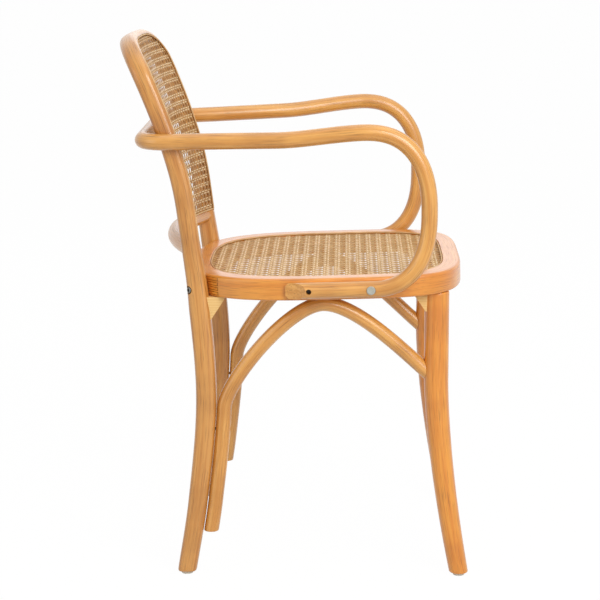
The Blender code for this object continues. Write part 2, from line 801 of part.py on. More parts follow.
def build_front_legs(bent_rail):
    """Both front legs; returns each with the room that its neighbours leave it."""
    legs = {}
    bore = TENON_RADIUS + GAP
    profile = [(-TENON_LENGTH, bore), (TENON_LENGTH + GAP, bore)]
    for name, side in SIDES_OF_CHAIR.items():
        leg = finish("front_leg_" + name, add_tenon(front_leg_mesh(side)), "lacquered_bentwood")
        room = finish("front_leg_room_" + name, front_leg_mesh(side, GAP))
        top = front_leg_point(front_leg_height(), side)
        mortise = turned(top, seat_square(), profile, ROD_SIDES)
        cut(bent_rail, finish("front_leg_mortise_" + name, mortise))
        legs[name] = (leg, room)
    return legs


def arm_low_y():
    return SEAT_HALF_WIDTH + ARM_SEATING


def arm_low_z(x):
    """Height of the arm where it lies along the seat's side, half way up the seat."""
    return (seat_top(x) + seat_bottom(x)) / 2


def ease(share):
    """Soft start and stop between 0 and 1, half way to a straight line."""
    return (1 - math.cos(math.pi * share)) / 4 + share / 2


def arm_fall(share):
    """Share of the arm's drop to the rear: a dip behind the front bend on top of a straight slope."""
    t = min(share / ARM_DIP_REACH, 1.0)
    return ARM_DIP_SHARE * (3 * t**2 - 2 * t**3) + (1 - ARM_DIP_SHARE) * share


def arm_half_route():
    """Left half of the arm hoop, from its end on the seat to the middle behind the back."""
    low = arm_low_z(ARM_LOW_RUN_X)
    top = ARM_TOP_HEIGHT - ARM_RADIUS
    rear_x = hoop_rear(ARM_REAR_HEIGHT) - ARM_RADIUS - ARM_REAR_CLEARANCE
    bend_x = rear_x + ARM_REAR_BEND_RADIUS
    side_y = UPRIGHT_HALF_SPACING + hoop_half_width(ARM_REAR_HEIGHT) + GAP + ARM_RADIUS
    route = [Vector((ARM_END_X, arm_low_y(), arm_low_z(ARM_END_X)))]
    run_start = ARM_END_X + ARM_END_ROUNDING
    run_steps = 5
    for k in range(run_steps):
        x = run_start + (ARM_LOW_RUN_X - run_start) * k / run_steps
        route.append(Vector((x, arm_low_y(), arm_low_z(x))))
    bend_steps = 9
    for k in range(bend_steps):
        c, s = rounded(math.pi / 2 * (1 - k / bend_steps), ARM_BEND_POWER)
        x = ARM_LOW_RUN_X + (ARM_FRONT_X - ARM_LOW_RUN_X) * c
        y = arm_low_y() + (ARM_FRONT_HALF_SPACING - arm_low_y()) * c
        route.append(Vector((x, y, ARM_FRONT_HEIGHT - (ARM_FRONT_HEIGHT - low) * s)))
    for k in range(bend_steps):
        c, s = rounded(math.pi / 2 * k / bend_steps, ARM_BEND_POWER)
        x = ARM_TOP_X + (ARM_FRONT_X - ARM_TOP_X) * c
        z = ARM_FRONT_HEIGHT + (top - ARM_FRONT_HEIGHT) * s
        route.append(Vector((x, ARM_FRONT_HALF_SPACING, z)))
    top_steps = 9
    for k in range(top_steps):
        share = k / top_steps
        x = ARM_TOP_X + (bend_x - ARM_TOP_X) * share
        y = ARM_FRONT_HALF_SPACING + (side_y - ARM_FRONT_HALF_SPACING) * ease(share)
        route.append(Vector((x, y, top + (ARM_REAR_HEIGHT - top) * arm_fall(share))))
    corner_steps = 6
    for k in range(corner_steps + 1):
        angle = math.pi / 2 * k / corner_steps
        x = bend_x - ARM_REAR_BEND_RADIUS * math.sin(angle)
        y = side_y - ARM_REAR_BEND_RADIUS * (1 - math.cos(angle))
        route.append(Vector((x, y, ARM_REAR_HEIGHT)))
    return route


def build_arms(pose):
    """The arm rod, its lower runs flattened against the seat."""
    left = arm_half_route()
    right = [Vector((p.x, -p.y, p.z)) for p in reversed(left)]
    middle = Vector((left[-1].x, 0.0, left[-1].z))
    route = left + [middle] + right
    radii = [ARM_END_RADIUS] + [ARM_RADIUS] * (len(route) - 2) + [ARM_END_RADIUS]
    arms = finish("arm_hoop", rod(route, radii), "lacquered_bentwood")
    room = prism(seat_outline(-GAP), -3 * SEAT_THICKNESS, 2 * SEAT_THICKNESS)
    cut(arms, finish("arm_seating", room, parent=pose))
    return arms


def brace_run_point(z):
    """Brace's centre where it runs down along the left rear leg."""
    return Vector((hoop_front(z) + RUN_GAP + BRACE_RADIUS, hoop_y(z), z))


def brace_peak():
    z = seat_bottom(BRACE_PEAK_X) - GAP - BRACE_RADIUS
    return Vector((BRACE_PEAK_X, SEAT_HALF_WIDTH - BRACE_PEAK_INSET, z))


def brace_front_way():
    return Vector((math.cos(BRACE_FRONT_ANGLE), 0.0, -math.sin(BRACE_FRONT_ANGLE)))


def brace_front():
    """Where the left brace's centre meets the rear face of the front leg."""
    return front_leg_point(BRACE_FRONT_HEIGHT, 1.0) - FORWARD * FRONT_LEG_RADIUS_TOP


def brace_route():
    """Left brace from inside the front leg over its peak and down the rear leg."""
    peak, front, way = brace_peak(), brace_front(), brace_front_way()
    run_top = brace_run_point(BRACE_RUN_TOP)
    run_way = (run_top - brace_run_point(BRACE_RUN_TOP - RUN_GAP)).normalized()
    steps = 10
    route = [front + way * BRACE_RADIUS]
    ahead = peak + FORWARD * BRACE_PEAK_FRONT_HANDLE
    behind = peak - FORWARD * BRACE_PEAK_REAR_HANDLE
    route += bezier(front, front - way * BRACE_FRONT_HANDLE, ahead, peak, steps)
    route += bezier(peak, behind, run_top + run_way * BRACE_RUN_HANDLE, run_top, steps)
    run_steps = 6
    for k in range(run_steps + 1):
        route.append(brace_run_point(BRACE_RUN_TOP + (BRACE_RUN_END - BRACE_RUN_TOP) * k / run_steps))
    return route


def build_braces(legs):
    braces = {}
    for name, side in SIDES_OF_CHAIR.items():
        route = [Vector((p.x, p.y * side, p.z)) for p in brace_route()]
        mesh = rod(route, [BRACE_RADIUS] * len(route), BRACE_SIDES, last=-UP)
        brace = finish("side_brace_" + name, mesh, "lacquered_bentwood")
        cut(brace, legs[name][1])
        braces[name] = brace
    return braces


# Corner blocks
def block_mesh(x, y, reach, drop):
    """Block under the seat from x inside the leg, narrowing along a reach that is signed along x."""
    tip = x + reach
    root = seat_bottom(x) - GAP
    nose = seat_bottom(tip) - GAP
    outline = [
        (x, root),
        (tip, nose),
        (tip, nose - BLOCK_NOSE),
        (x + reach / 2, root - drop),
        (x, root - drop),
    ]
    low, high = y - BLOCK_WIDTH / 2, y + BLOCK_WIDTH / 2
    return skin([[Vector((x, low, z)) for x, z in outline], [Vector((x, high, z)) for x, z in outline]])


def build_blocks(legs, hoop_clearance, bent_rail):
    """Corner blocks, each coped to its leg and screwed up into the seat."""
    for name, side in SIDES_OF_CHAIR.items():
        under = seat_bottom(HOOP_HIP[0])
        rear_start = hoop_x(under)
        rear_tip = hoop_front(under - REAR_BLOCK_DROP) + REAR_BLOCK_REACH
        front_tip = FRONT_LEG_X - FRONT_LEG_RADIUS_TOP - FRONT_BLOCK_REACH
        places = (
            ("rear_", rear_start, rear_tip, hoop_y(under), REAR_BLOCK_DROP, hoop_clearance),
            ("front_", FRONT_LEG_X, front_tip, FRONT_LEG_HALF_SPACING, FRONT_BLOCK_DROP, legs[name][1]),
        )
        for end, start, tip, y, drop, neighbour in places:
            mesh = block_mesh(start, side * y, tip - start, drop)
            block = finish("corner_block_" + end + name, mesh, "raw_softwood")
            cut(block, neighbour)
            x = tip - math.copysign(BLOCK_SCREW_FROM_TIP, tip - start)
            head = Vector((x, side * (y + BLOCK_SCREW_OUTWARD), seat_bottom(x) - BLOCK_SCREW_DEPTH))
            screw(
                "corner_block_screw_" + end + name,
                head,
                UP,
                BLOCK_SCREW_LENGTH,
                "zinc_plated_steel",
                (block, bent_rail),
                BLOCK_SCREW_HEAD_RADIUS,
                BLOCK_SCREW_SHANK_RADIUS,
            )


# Fasteners
def hoop_reach(z, angle):
    """Distance from the hoop's centre to its surface at a height, at an angle from front to side."""
    ahead = math.cos(angle) / hoop_half_depth(z)
    aside = math.sin(angle) / hoop_half_width(z)
    return (ahead**HOOP_SECTION_POWER + aside**HOOP_SECTION_POWER) ** (-1 / HOOP_SECTION_POWER)


def build_rear_bolts(hoop, rails):
    """Bolt slantwise through each rear leg into a barrel nut in the seat, with a washer under its head."""
    z = seat_bottom(HOOP_HIP[0]) + BOLT_HEIGHT_IN_SEAT
    sunk = hoop_reach(z, BOLT_INWARD_ANGLE) - BOLT_SINK
    washer_start = BOLT_HEAD_HEIGHT + GAP
    washer_end = washer_start + WASHER_THICKNESS
    shank_bore = BOLT_SHANK_RADIUS + GAP
    washer_bore = WASHER_RADIUS + GAP
    nut_bore = NUT_RADIUS + GAP
    for name, side in SIDES_OF_CHAIR.items():
        way = Vector((math.cos(BOLT_INWARD_ANGLE), -side * math.sin(BOLT_INWARD_ANGLE), 0.0))
        start = Vector((hoop_x(z), side * hoop_y(z), z)) - way * sunk
        nut_low = start + way * (BOLT_LENGTH - BOLT_PAST_NUT - NUT_RADIUS) - UP * (NUT_LENGTH / 2)
        shape = screw_profile(BOLT_LENGTH, BOLT_HEAD_RADIUS, BOLT_HEAD_HEIGHT, BOLT_SHANK_RADIUS)
        finish("rear_leg_bolt_" + name, turned(start, way, shape), "blackened_steel")
        disc = turned(start, way, [(washer_start, WASHER_RADIUS), (washer_end, WASHER_RADIUS)])
        washer = finish("rear_leg_washer_" + name, disc, "blackened_steel")
        barrel = turned(nut_low, UP, [(0.0, NUT_RADIUS), (NUT_LENGTH, NUT_RADIUS)], ROD_SIDES)
        nut = finish("rear_leg_barrel_nut_" + name, barrel, "zinc_plated_steel")
        shank = turned(start, way, [(-HOLE_OPENING, shank_bore), (BOLT_LENGTH + GAP, shank_bore)])
        head = turned(start, way, [(-HOLE_OPENING, washer_bore), (washer_end + GAP, washer_bore)])
        shaft = turned(nut_low, UP, [(-HOLE_OPENING, nut_bore), (NUT_LENGTH + GAP, nut_bore)], ROD_SIDES)
        shank_room = finish("rear_leg_bolt_room_" + name, shank)
        head_room = finish("rear_leg_washer_room_" + name, head)
        nut_room = finish("rear_leg_nut_room_" + name, shaft)
        cut(hoop, head_room)
        cut(rails[0], nut_room)
        for piece in (hoop, washer, nut, *rails):
            cut(piece, shank_room)


def build_arm_screws(arms, hoop, bent_rail):
    """Screws from the arms into the seat, under caps at the front, and from the uprights into the arms."""
    face = arm_low_y() + ARM_RADIUS
    bite = face - ARM_SCREW_RECESS - SEAT_HALF_WIDTH + ARM_SCREW_BITE
    width = hoop_half_width(ARM_REAR_HEIGHT)
    cap_steps = [(0.0, CAP_FACE_RADIUS), (CAP_PROUD, CAP_RADIUS), (CAP_THICKNESS, CAP_RADIUS)]
    cap_bore = CAP_RADIUS + GAP
    for name, side in SIDES_OF_CHAIR.items():
        inward = LEFT * -side
        for end, x in (("front_", ARM_SCREW_FRONT_X), ("rear_", ARM_SCREW_REAR_X)):
            head = Vector((x, side * (face - ARM_SCREW_RECESS), arm_low_z(x)))
            screw("arm_screw_" + end + name, head, inward, bite, "blackened_steel", (arms, bent_rail))
        cap_at = Vector((ARM_SCREW_FRONT_X, side * (face + CAP_PROUD), arm_low_z(ARM_SCREW_FRONT_X)))
        finish("arm_screw_cap_" + name, turned(cap_at, inward, cap_steps, ROD_SIDES), "grey_cap_plastic")
        cap_profile = [(-HOLE_OPENING, cap_bore), (CAP_THICKNESS + GAP, cap_bore)]
        cap_seat = turned(cap_at, inward, cap_profile, ROD_SIDES)
        cut(arms, finish("arm_screw_cap_room_" + name, cap_seat))
        x = hoop_x(ARM_REAR_HEIGHT) - ARM_BACK_SCREW_REARWARD
        head = Vector((x, side * (UPRIGHT_HALF_SPACING - width + SCREW_HEAD_HEIGHT), ARM_REAR_HEIGHT))
        reach = 2 * width + ARM_RADIUS
        screw("arm_back_screw_" + name, head, -inward, reach, "blackened_steel", (arms, hoop))


def build_brace_joints(braces, legs, hoop, bent_rail):
    """Screws of the braces into the rear legs and the seat, and dowels into the front legs."""
    length = 2 * BRACE_RADIUS + BRACE_SCREW_BITE
    for name, side in SIDES_OF_CHAIR.items():
        brace = braces[name]
        run = brace_run_point(BRACE_SCREW_HEIGHT)
        head = Vector((run.x + BRACE_RADIUS - BRACE_SCREW_SINK, side * run.y, run.z))
        screw("brace_rear_screw_" + name, head, -FORWARD, length, "blackened_steel", (brace, hoop))
        peak = brace_peak()
        head = Vector((peak.x, side * peak.y, peak.z - BRACE_RADIUS + BRACE_SCREW_SINK))
        screw("brace_seat_screw_" + name, head, UP, length, "zinc_plated_steel", (brace, bent_rail))
        front = brace_front()
        start = Vector((front.x, side * front.y, front.z)) - brace_front_way() * DOWEL_HALF_LENGTH
        joined = (brace, legs[name][0])
        dowel("brace_dowel_" + name, start, brace_front_way(), 2 * DOWEL_HALF_LENGTH, DOWEL_RADIUS, joined)


def build_glides(legs, hoop):
    """Nail glide under each foot."""
    sole = GLIDE_THICKNESS + GAP
    nail_end = GLIDE_THICKNESS + GLIDE_NAIL_LENGTH
    profile = [
        (0.0, GLIDE_FACE_RADIUS),
        (GLIDE_THICKNESS / 3, GLIDE_RADIUS),
        (GLIDE_THICKNESS, GLIDE_RADIUS),
        (GLIDE_THICKNESS, GLIDE_NAIL_RADIUS),
        (nail_end, GLIDE_NAIL_RADIUS),
    ]
    bore = GLIDE_NAIL_RADIUS + GAP
    for name, side in SIDES_OF_CHAIR.items():
        front = front_leg_point(sole, side)
        feet = (
            ("rear_", Vector((hoop_x(sole), side * hoop_y(sole), 0.0)), hoop),
            ("front_", Vector((front.x, front.y, 0.0)), legs[name][0]),
        )
        for end, foot, leg in feet:
            finish("foot_glide_" + end + name, turned(foot, UP, profile, ROD_SIDES), "nylon_glide")
            hole = turned(foot, UP, [(0.0, bore), (nail_end + GAP, bore)])
            cut(leg, finish("foot_glide_hole_" + end + name, hole))


def main():
    for old in list(bpy.data.objects):
        bpy.data.objects.remove(old)
    hoop, hoop_clearance = build_back()
    pose = seat_pose()
    rails = build_seat(pose, hoop_clearance)
    bent_rail = rails[0]
    legs = build_front_legs(bent_rail)
    arms = build_arms(pose)
    braces = build_braces(legs)
    build_blocks(legs, hoop_clearance, bent_rail)
    build_rear_bolts(hoop, rails)
    build_arm_screws(arms, hoop, bent_rail)
    build_brace_joints(braces, legs, hoop, bent_rail)
    build_glides(legs, hoop)


main()
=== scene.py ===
import logging
import math
from collections.abc import Callable, Sequence
from dataclasses import dataclass, field
from enum import Enum

import bpy
import numpy as np
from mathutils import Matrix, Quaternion, Vector


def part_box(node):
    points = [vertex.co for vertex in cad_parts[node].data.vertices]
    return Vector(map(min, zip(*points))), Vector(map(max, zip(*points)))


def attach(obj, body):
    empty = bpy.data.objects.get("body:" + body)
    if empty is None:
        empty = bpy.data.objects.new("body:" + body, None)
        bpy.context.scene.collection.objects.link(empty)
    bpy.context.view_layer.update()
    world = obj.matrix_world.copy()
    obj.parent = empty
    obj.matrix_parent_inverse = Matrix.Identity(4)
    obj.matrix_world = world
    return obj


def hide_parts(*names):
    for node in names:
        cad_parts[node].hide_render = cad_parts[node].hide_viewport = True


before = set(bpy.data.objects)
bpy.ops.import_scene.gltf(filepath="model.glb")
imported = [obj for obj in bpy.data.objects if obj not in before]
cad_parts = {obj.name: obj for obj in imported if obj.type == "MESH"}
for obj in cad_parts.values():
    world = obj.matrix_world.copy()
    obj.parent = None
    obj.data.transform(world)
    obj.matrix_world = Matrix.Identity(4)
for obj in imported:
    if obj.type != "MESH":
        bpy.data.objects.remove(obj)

LOG = logging.getLogger("cane_dining_chair")
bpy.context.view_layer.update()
BODY = "root"
GAP = 0.0003
MM = 0.001
TINY = 1e-6
GRAIN = "straight_grain"
PLANK_STEP = np.array([0.131, 0.077, 1.73])
BENTWOOD_SLOT = "lacquered_bentwood"


class Side(Enum):
    """Side of the chair, with the sign of its y."""

    LEFT = 1.0
    RIGHT = -1.0

    @property
    def word(self) -> str:
        """The side's word in the names of pieces."""
        return self.name.lower()

    def outer_and_inner(self, node: str) -> tuple[float, float, Vector]:
        """y of a CAD node's outer and inner end on this side, and its middle."""
        low, high, middle = cad_box(node)
        return (high.y, low.y, middle) if self is Side.LEFT else (low.y, high.y, middle)


class Cut(Enum):
    """What a cutter does to the piece that it meets."""

    TAKE_AWAY = "DIFFERENCE"
    KEEP_INSIDE = "INTERSECT"
    JOIN = "UNION"


class Axis(Enum):
    """Axis of a primitive, as a column of its points."""

    X = 0
    Y = 1
    Z = 2


# Curves
def smooth_through(keys: Sequence[tuple[float, float]], z: np.ndarray) -> np.ndarray:
    """Smooth curve through keys.

    Args:
        keys: (x, z) pairs in rising z.
        z: heights to read the curve at.

    Returns:
        x at each height.
    """
    xs = np.array([key[0] for key in keys])
    zs = np.array([key[1] for key in keys])
    last = len(keys) - 1
    low = np.maximum(np.arange(last + 1) - 1, 0)
    high = np.minimum(np.arange(last + 1) + 1, last)
    slopes = (xs[high] - xs[low]) / (zs[high] - zs[low])
    i = np.clip(np.searchsorted(zs, z, side="left") - 1, 0, last - 1)
    span = zs[i + 1] - zs[i]
    t = (z - zs[i]) / span
    start = (2 * t**3 - 3 * t**2 + 1) * xs[i] + (t**3 - 2 * t**2 + t) * span * slopes[i]
    end = (3 * t**2 - 2 * t**3) * xs[i + 1] + (t**3 - t**2) * span * slopes[i + 1]
    return start + end


def straight_between(keys: Sequence[tuple[float, float]], z: np.ndarray) -> np.ndarray:
    """Straight runs between keys.

    Args:
        keys: (height, value) pairs in rising height.
        z: heights to read the value at.

    Returns:
        Value at each height.
    """
    return np.interp(z, [key[0] for key in keys], [key[1] for key in keys])


def squared_circle(angle: np.ndarray, power: np.ndarray | float) -> tuple[np.ndarray, np.ndarray]:
    """Points of a unit circle that is pressed towards a square.

    Args:
        angle: angles round the circle.
        power: 2 for a true circle, more for a squarer one.

    Returns:
        The two coordinates at each angle.
    """
    c, s = np.cos(angle), np.sin(angle)
    return np.sign(c) * np.abs(c) ** (2 / power), np.sign(s) * np.abs(s) ** (2 / power)


def cubic(a: Vector, b: Vector, c: Vector, d: Vector, steps: int) -> list[Vector]:
    """Points of a cubic curve.

    Args:
        a, b, c, d: the curve's end points, and its handles between them.
        steps: number of points, the last one short of d.

    Returns:
        The points in order.
    """
    line = []
    for k in range(steps):
        t = k / steps
        u = 1 - t
        line.append(a * u**3 + b * (3 * u**2 * t) + c * (3 * u * t**2) + d * t**3)
    return line


def unit(rows: np.ndarray) -> np.ndarray:
    """Rows scaled to length 1."""
    return rows / np.linalg.norm(rows, axis=-1, keepdims=True)


def run_along(line: np.ndarray) -> np.ndarray:
    """Length along a line from its start to each of its points."""
    return np.concatenate([[0.0], np.cumsum(np.linalg.norm(np.diff(line, axis=0), axis=1))])


def even_steps(line: np.ndarray, count: int) -> np.ndarray:
    """Points at even distances along a line.

    Args:
        line: points of the line, close together.
        count: number of points wanted.

    Returns:
        The new points.
    """
    run = run_along(line)
    stations = np.linspace(0.0, run[-1], count)
    return np.stack([np.interp(stations, run, line[:, k]) for k in range(3)], axis=-1)


# Work at the bench
def deselect_all() -> None:
    """Leave edit mode and clear the selection."""
    active = bpy.context.view_layer.objects.active
    if active is not None and active.mode != "OBJECT":
        bpy.ops.object.mode_set(mode="OBJECT")
    bpy.ops.object.select_all(action="DESELECT")


def take(piece: bpy.types.Object) -> None:
    """Make a piece the active object and the only one selected."""
    deselect_all()
    piece.select_set(True)
    bpy.context.view_layer.objects.active = piece


def added(name: str) -> bpy.types.Object:
    """Name the primitive that was just added, and return it."""
    piece = bpy.context.view_layer.objects.active
    piece.name = name
    piece.data.name = name
    return piece


def points_of(piece: bpy.types.Object) -> np.ndarray:
    """Points of a piece's mesh, one row each."""
    flat = np.empty(len(piece.data.vertices) * 3)
    piece.data.vertices.foreach_get("co", flat)
    return flat.reshape(-1, 3)


def move_points(piece: bpy.types.Object, points: np.ndarray) -> None:
    """Put a piece's points where the rows say."""
    piece.data.vertices.foreach_set("co", np.ascontiguousarray(points, dtype=float).ravel())
    piece.data.update()


def edge_ends(piece: bpy.types.Object) -> np.ndarray:
    """Both ends of each edge, as an array of edges by 2 by 3."""
    pairs = np.empty(len(piece.data.edges) * 2, dtype=np.int64)
    piece.data.edges.foreach_get("vertices", pairs)
    return points_of(piece)[pairs.reshape(-1, 2)]


def edit_edges(piece: bpy.types.Object, chosen: np.ndarray) -> None:
    """Enter edit mode with only some edges selected.

    Args:
        piece: the piece to edit.
        chosen: for each edge, whether it is selected.
    """
    take(piece)
    bpy.ops.object.mode_set(mode="EDIT")
    bpy.ops.mesh.select_mode(type="EDGE")
    bpy.ops.mesh.select_all(action="DESELECT")
    bpy.ops.object.mode_set(mode="OBJECT")
    piece.data.edges.foreach_set("select", chosen.astype(bool))
    bpy.ops.object.mode_set(mode="EDIT")


def share_round(points: np.ndarray) -> np.ndarray:
    """Share of the way round the z axis at which each point lies."""
    return np.mod(np.arctan2(points[:, 1], points[:, 0]) / (2 * math.pi), 1.0)


def unit_block(name: str) -> bpy.types.Object:
    """Block of unit size about the origin, to be cut and moved."""
    deselect_all()
    bpy.ops.mesh.primitive_cube_add(size=1.0)
    return added(name)


def plain_ring(name: str, rings: int, sides: int) -> tuple[bpy.types.Object, np.ndarray, np.ndarray]:
    """Ring whose points are still to be moved.

    Args:
        name: the ring's name.
        rings: number of steps round it.
        sides: number of its flat sides.

    Returns:
        The ring, and for each of its points the share of the way round and the turn in its section.
    """
    deselect_all()
    bpy.ops.mesh.primitive_torus_add(
        major_segments=rings, minor_segments=sides, major_radius=2.0, minor_radius=1.0
    )
    ring = added(name)
    place = points_of(ring)
    turn = np.arctan2(place[:, 2], np.hypot(place[:, 0], place[:, 1]) - 2.0)
    return ring, share_round(place), turn


def cut_along(piece: bpy.types.Object, axis: Axis, lengths: Sequence[int]) -> None:
    """Cut the edges that run along an axis into equal lengths.

    Args:
        piece: a straight primitive.
        axis: the axis that the edges run along.
        lengths: number of lengths, once for each round of cutting.
    """
    for count in lengths:
        ends = edge_ends(piece)
        edit_edges(piece, np.abs(ends[:, 0, axis.value] - ends[:, 1, axis.value]) > TINY)
        bpy.ops.mesh.subdivide(number_cuts=count - 1)
        bpy.ops.object.mode_set(mode="OBJECT")


def face_outwards(piece: bpy.types.Object) -> None:
    """Turn every face of a piece outwards."""
    take(piece)
    bpy.ops.object.mode_set(mode="EDIT")
    bpy.ops.mesh.select_all(action="SELECT")
    bpy.ops.mesh.normals_make_consistent(inside=False)
    bpy.ops.object.mode_set(mode="OBJECT")


def cut_with(piece: bpy.types.Object, cutter: bpy.types.Object, cut: Cut = Cut.TAKE_AWAY) -> None:
    """Cut a piece with another one.

    Args:
        piece: the piece that is changed.
        cutter: the piece that it is cut with.
        cut: what the cutter does.
    """
    take(piece)
    bpy.ops.object.modifier_add(type="BOOLEAN")
    modifier = piece.modifiers[-1]
    modifier.operation = cut.value
    modifier.solver = "EXACT"
    modifier.object = cutter
    bpy.ops.object.modifier_apply(modifier=modifier.name)


def discard(*pieces: bpy.types.Object) -> None:
    """Remove cutters that have done their work."""
    deselect_all()
    for piece in pieces:
        bpy.data.objects.remove(piece, do_unlink=True)


def round_edges(piece: bpy.types.Object, width: float, segments: int = 3, angle: float = 50.0) -> None:
    """Round a piece's sharp edges.

    Args:
        piece: the piece to round.
        width: width of the rounding in metres.
        segments: steps of the rounding.
        angle: edges sharper than this many degrees are rounded.
    """
    take(piece)
    bpy.ops.object.modifier_add(type="BEVEL")
    modifier = piece.modifiers[-1]
    modifier.width = width
    modifier.segments = segments
    modifier.limit_method = "ANGLE"
    modifier.angle_limit = math.radians(angle)
    bpy.ops.object.modifier_apply(modifier=modifier.name)


def straight_pin(name: str, start: Vector, end: Vector, radius: float, sides: int = 32) -> bpy.types.Object:
    """Round pin between two points, used as a drill or as the start of a turned piece.

    Args:
        name: the pin's name.
        start, end: centres of its two ends.
        radius: its radius in metres.
        sides: number of its flat sides.

    Returns:
        The pin.
    """
    deselect_all()
    way = end - start
    turn = way.to_track_quat("Z", "Y").to_euler()
    bpy.ops.mesh.primitive_cylinder_add(
        vertices=sides, radius=radius, depth=way.length, location=(start + end) / 2, rotation=turn
    )
    pin = added(name)
    bpy.ops.object.transform_apply(location=True, rotation=True, scale=True)
    return pin


def drill(piece: bpy.types.Object, start: Vector, end: Vector, radius: float, sides: int = 32) -> None:
    """Drill a round hole between two points.

    Args:
        piece: the piece that is drilled.
        start, end: centres of the hole's ends.
        radius: its radius in metres.
        sides: number of its flat sides.
    """
    bit = straight_pin("drill", start, end, radius, sides)
    cut_with(piece, bit)
    discard(bit)


def cad_box(node: str) -> tuple[Vector, Vector, Vector]:
    """Low corner, high corner and middle of a CAD node's box."""
    low, high = (Vector(corner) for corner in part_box(node))
    return low, high, (low + high) / 2


def finish_piece(
    piece: bpy.types.Object, finish: bpy.types.Material, nodes: Sequence[str], smooth: float = 40.0
) -> None:
    """Smooth a piece, give it its finish and fix it to the chair.

    Args:
        piece: the finished mesh.
        finish: its material.
        nodes: CAD nodes that it stands for.
        smooth: edges below this many degrees are shaded smooth.
    """
    take(piece)
    bpy.ops.object.shade_smooth_by_angle(angle=math.radians(smooth))
    piece.data.materials.clear()
    piece.data.materials.append(finish)
    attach(piece, BODY)
    if nodes:
        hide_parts(*nodes)
    LOG.info("%s: %d faces", piece.name, len(piece.data.polygons))


@dataclass
class Former:
    """Line that a straight bar is bent along, with the bar's section on the way.

    The bar's grain runs along the line. straighten gives the place that a point had in the straight bar.
    """

    points: np.ndarray
    depths: np.ndarray
    widths: np.ndarray
    fronts: np.ndarray | None = None
    closed: bool = False
    first: Vector | None = None
    last: Vector | None = None
    ways: np.ndarray = field(init=False)
    sides: np.ndarray = field(init=False)
    lengths: np.ndarray = field(init=False)

    def __post_init__(self) -> None:
        """Work out the line's directions and lengths."""
        steps = np.diff(self.points, axis=0)
        self.lengths = run_along(self.points)
        ways = np.empty_like(self.points)
        ways[1:-1] = unit(steps)[1:] + unit(steps)[:-1]
        ways[0], ways[-1] = steps[0], steps[-1]
        if self.closed:
            ways[0] = ways[-1] = steps[0] + steps[-1]
        if self.first is not None:
            ways[0] = self.first
        if self.last is not None:
            ways[-1] = self.last
        self.ways = unit(ways)
        if self.fronts is None:
            self.fronts = self.carried_fronts()
        lost = (self.fronts * self.ways).sum(axis=1, keepdims=True)
        self.fronts = unit(self.fronts - lost * self.ways)
        self.sides = np.cross(self.ways, self.fronts)

    def carried_fronts(self) -> np.ndarray:
        """Fronts that turn only as the line turns, for a round bar."""
        front = np.array(Vector(self.ways[0]).orthogonal().normalized())
        fronts = []
        for way in self.ways:
            front = front - way * front.dot(way)
            front /= np.linalg.norm(front)
            fronts.append(front)
        return np.array(fronts)

    def place(self, along: np.ndarray, ahead: np.ndarray, aside: np.ndarray) -> np.ndarray:
        """Bend points of the straight bar.

        Args:
            along: lengths along the bar.
            ahead: distances to the bar's front.
            aside: distances to the bar's side.

        Returns:
            The points' places on the chair.
        """

        def at(table: np.ndarray) -> np.ndarray:
            """Rows of a table at the lengths asked for."""
            return np.stack([np.interp(along, self.lengths, table[:, k]) for k in range(3)], axis=-1)

        return at(self.points) + at(self.fronts) * ahead[:, None] + at(self.sides) * aside[:, None]

    def straighten(self, points: np.ndarray) -> np.ndarray:
        """Places that bent points had in the straight bar, as (ahead, aside, along)."""
        batch = 2000
        parts = []
        for start in range(0, len(points), batch):
            part = points[start : start + batch]
            near = ((part[:, None, :] - self.points[None, :, :]) ** 2).sum(axis=-1).argmin(axis=1)
            off = part - self.points[near]
            tables = (self.fronts, self.sides, self.ways)
            ahead, aside, on = ((off * table[near]).sum(axis=1) for table in tables)
            parts.append(np.column_stack([ahead, aside, self.lengths[near] + on]))
        return np.concatenate(parts)

    def bend_bar(self, name: str, sides: int, rings: Sequence[int], power: float = 2.0) -> bpy.types.Object:
        """Bend a straight bar along the line.

        Args:
            name: the bar's name.
            sides: number of the bar's flat sides.
            rings: lengths that the bar is cut into, once for each round of cutting.
            power: 2 for a round section, more for a squarer one.

        Returns:
            The bent bar, with flat ends.
        """
        deselect_all()
        bpy.ops.mesh.primitive_cylinder_add(vertices=sides, radius=1.0, depth=1.0, end_fill_type="NGON")
        bar = added(name)
        cut_along(bar, Axis.Z, rings)
        straight = points_of(bar)
        along = (straight[:, 2] + 0.5) * self.lengths[-1]
        c, s = squared_circle(np.arctan2(straight[:, 1], straight[:, 0]), power)
        ahead = c * np.interp(along, self.lengths, self.depths)
        aside = s * np.interp(along, self.lengths, self.widths)
        move_points(bar, self.place(along, ahead, aside))
        face_outwards(bar)
        return bar

    def bend_ring(self, name: str, sides: int, rings: int) -> bpy.types.Object:
        """Bend a round reed along the closed line.

        Args:
            name: the reed's name.
            sides: number of its flat sides.
            rings: lengths that it is cut into.

        Returns:
            The closed reed.
        """
        reed, share, turn = plain_ring(name, rings, sides)
        along = share * self.lengths[-1]
        ahead = np.cos(turn) * np.interp(along, self.lengths, self.depths)
        aside = np.sin(turn) * np.interp(along, self.lengths, self.widths)
        move_points(reed, self.place(along, ahead, aside))
        face_outwards(reed)
        return reed

    def lay_grain(self, piece: bpy.types.Object, plank: int) -> None:
        """Write on a piece where each of its points was in the straight bar.

        Args:
            piece: the bent and cut piece.
            plank: number of the plank that it was sawn from, which sets it off in the wood's pattern.
        """
        write_grain(piece, self.straighten(points_of(piece)), plank)


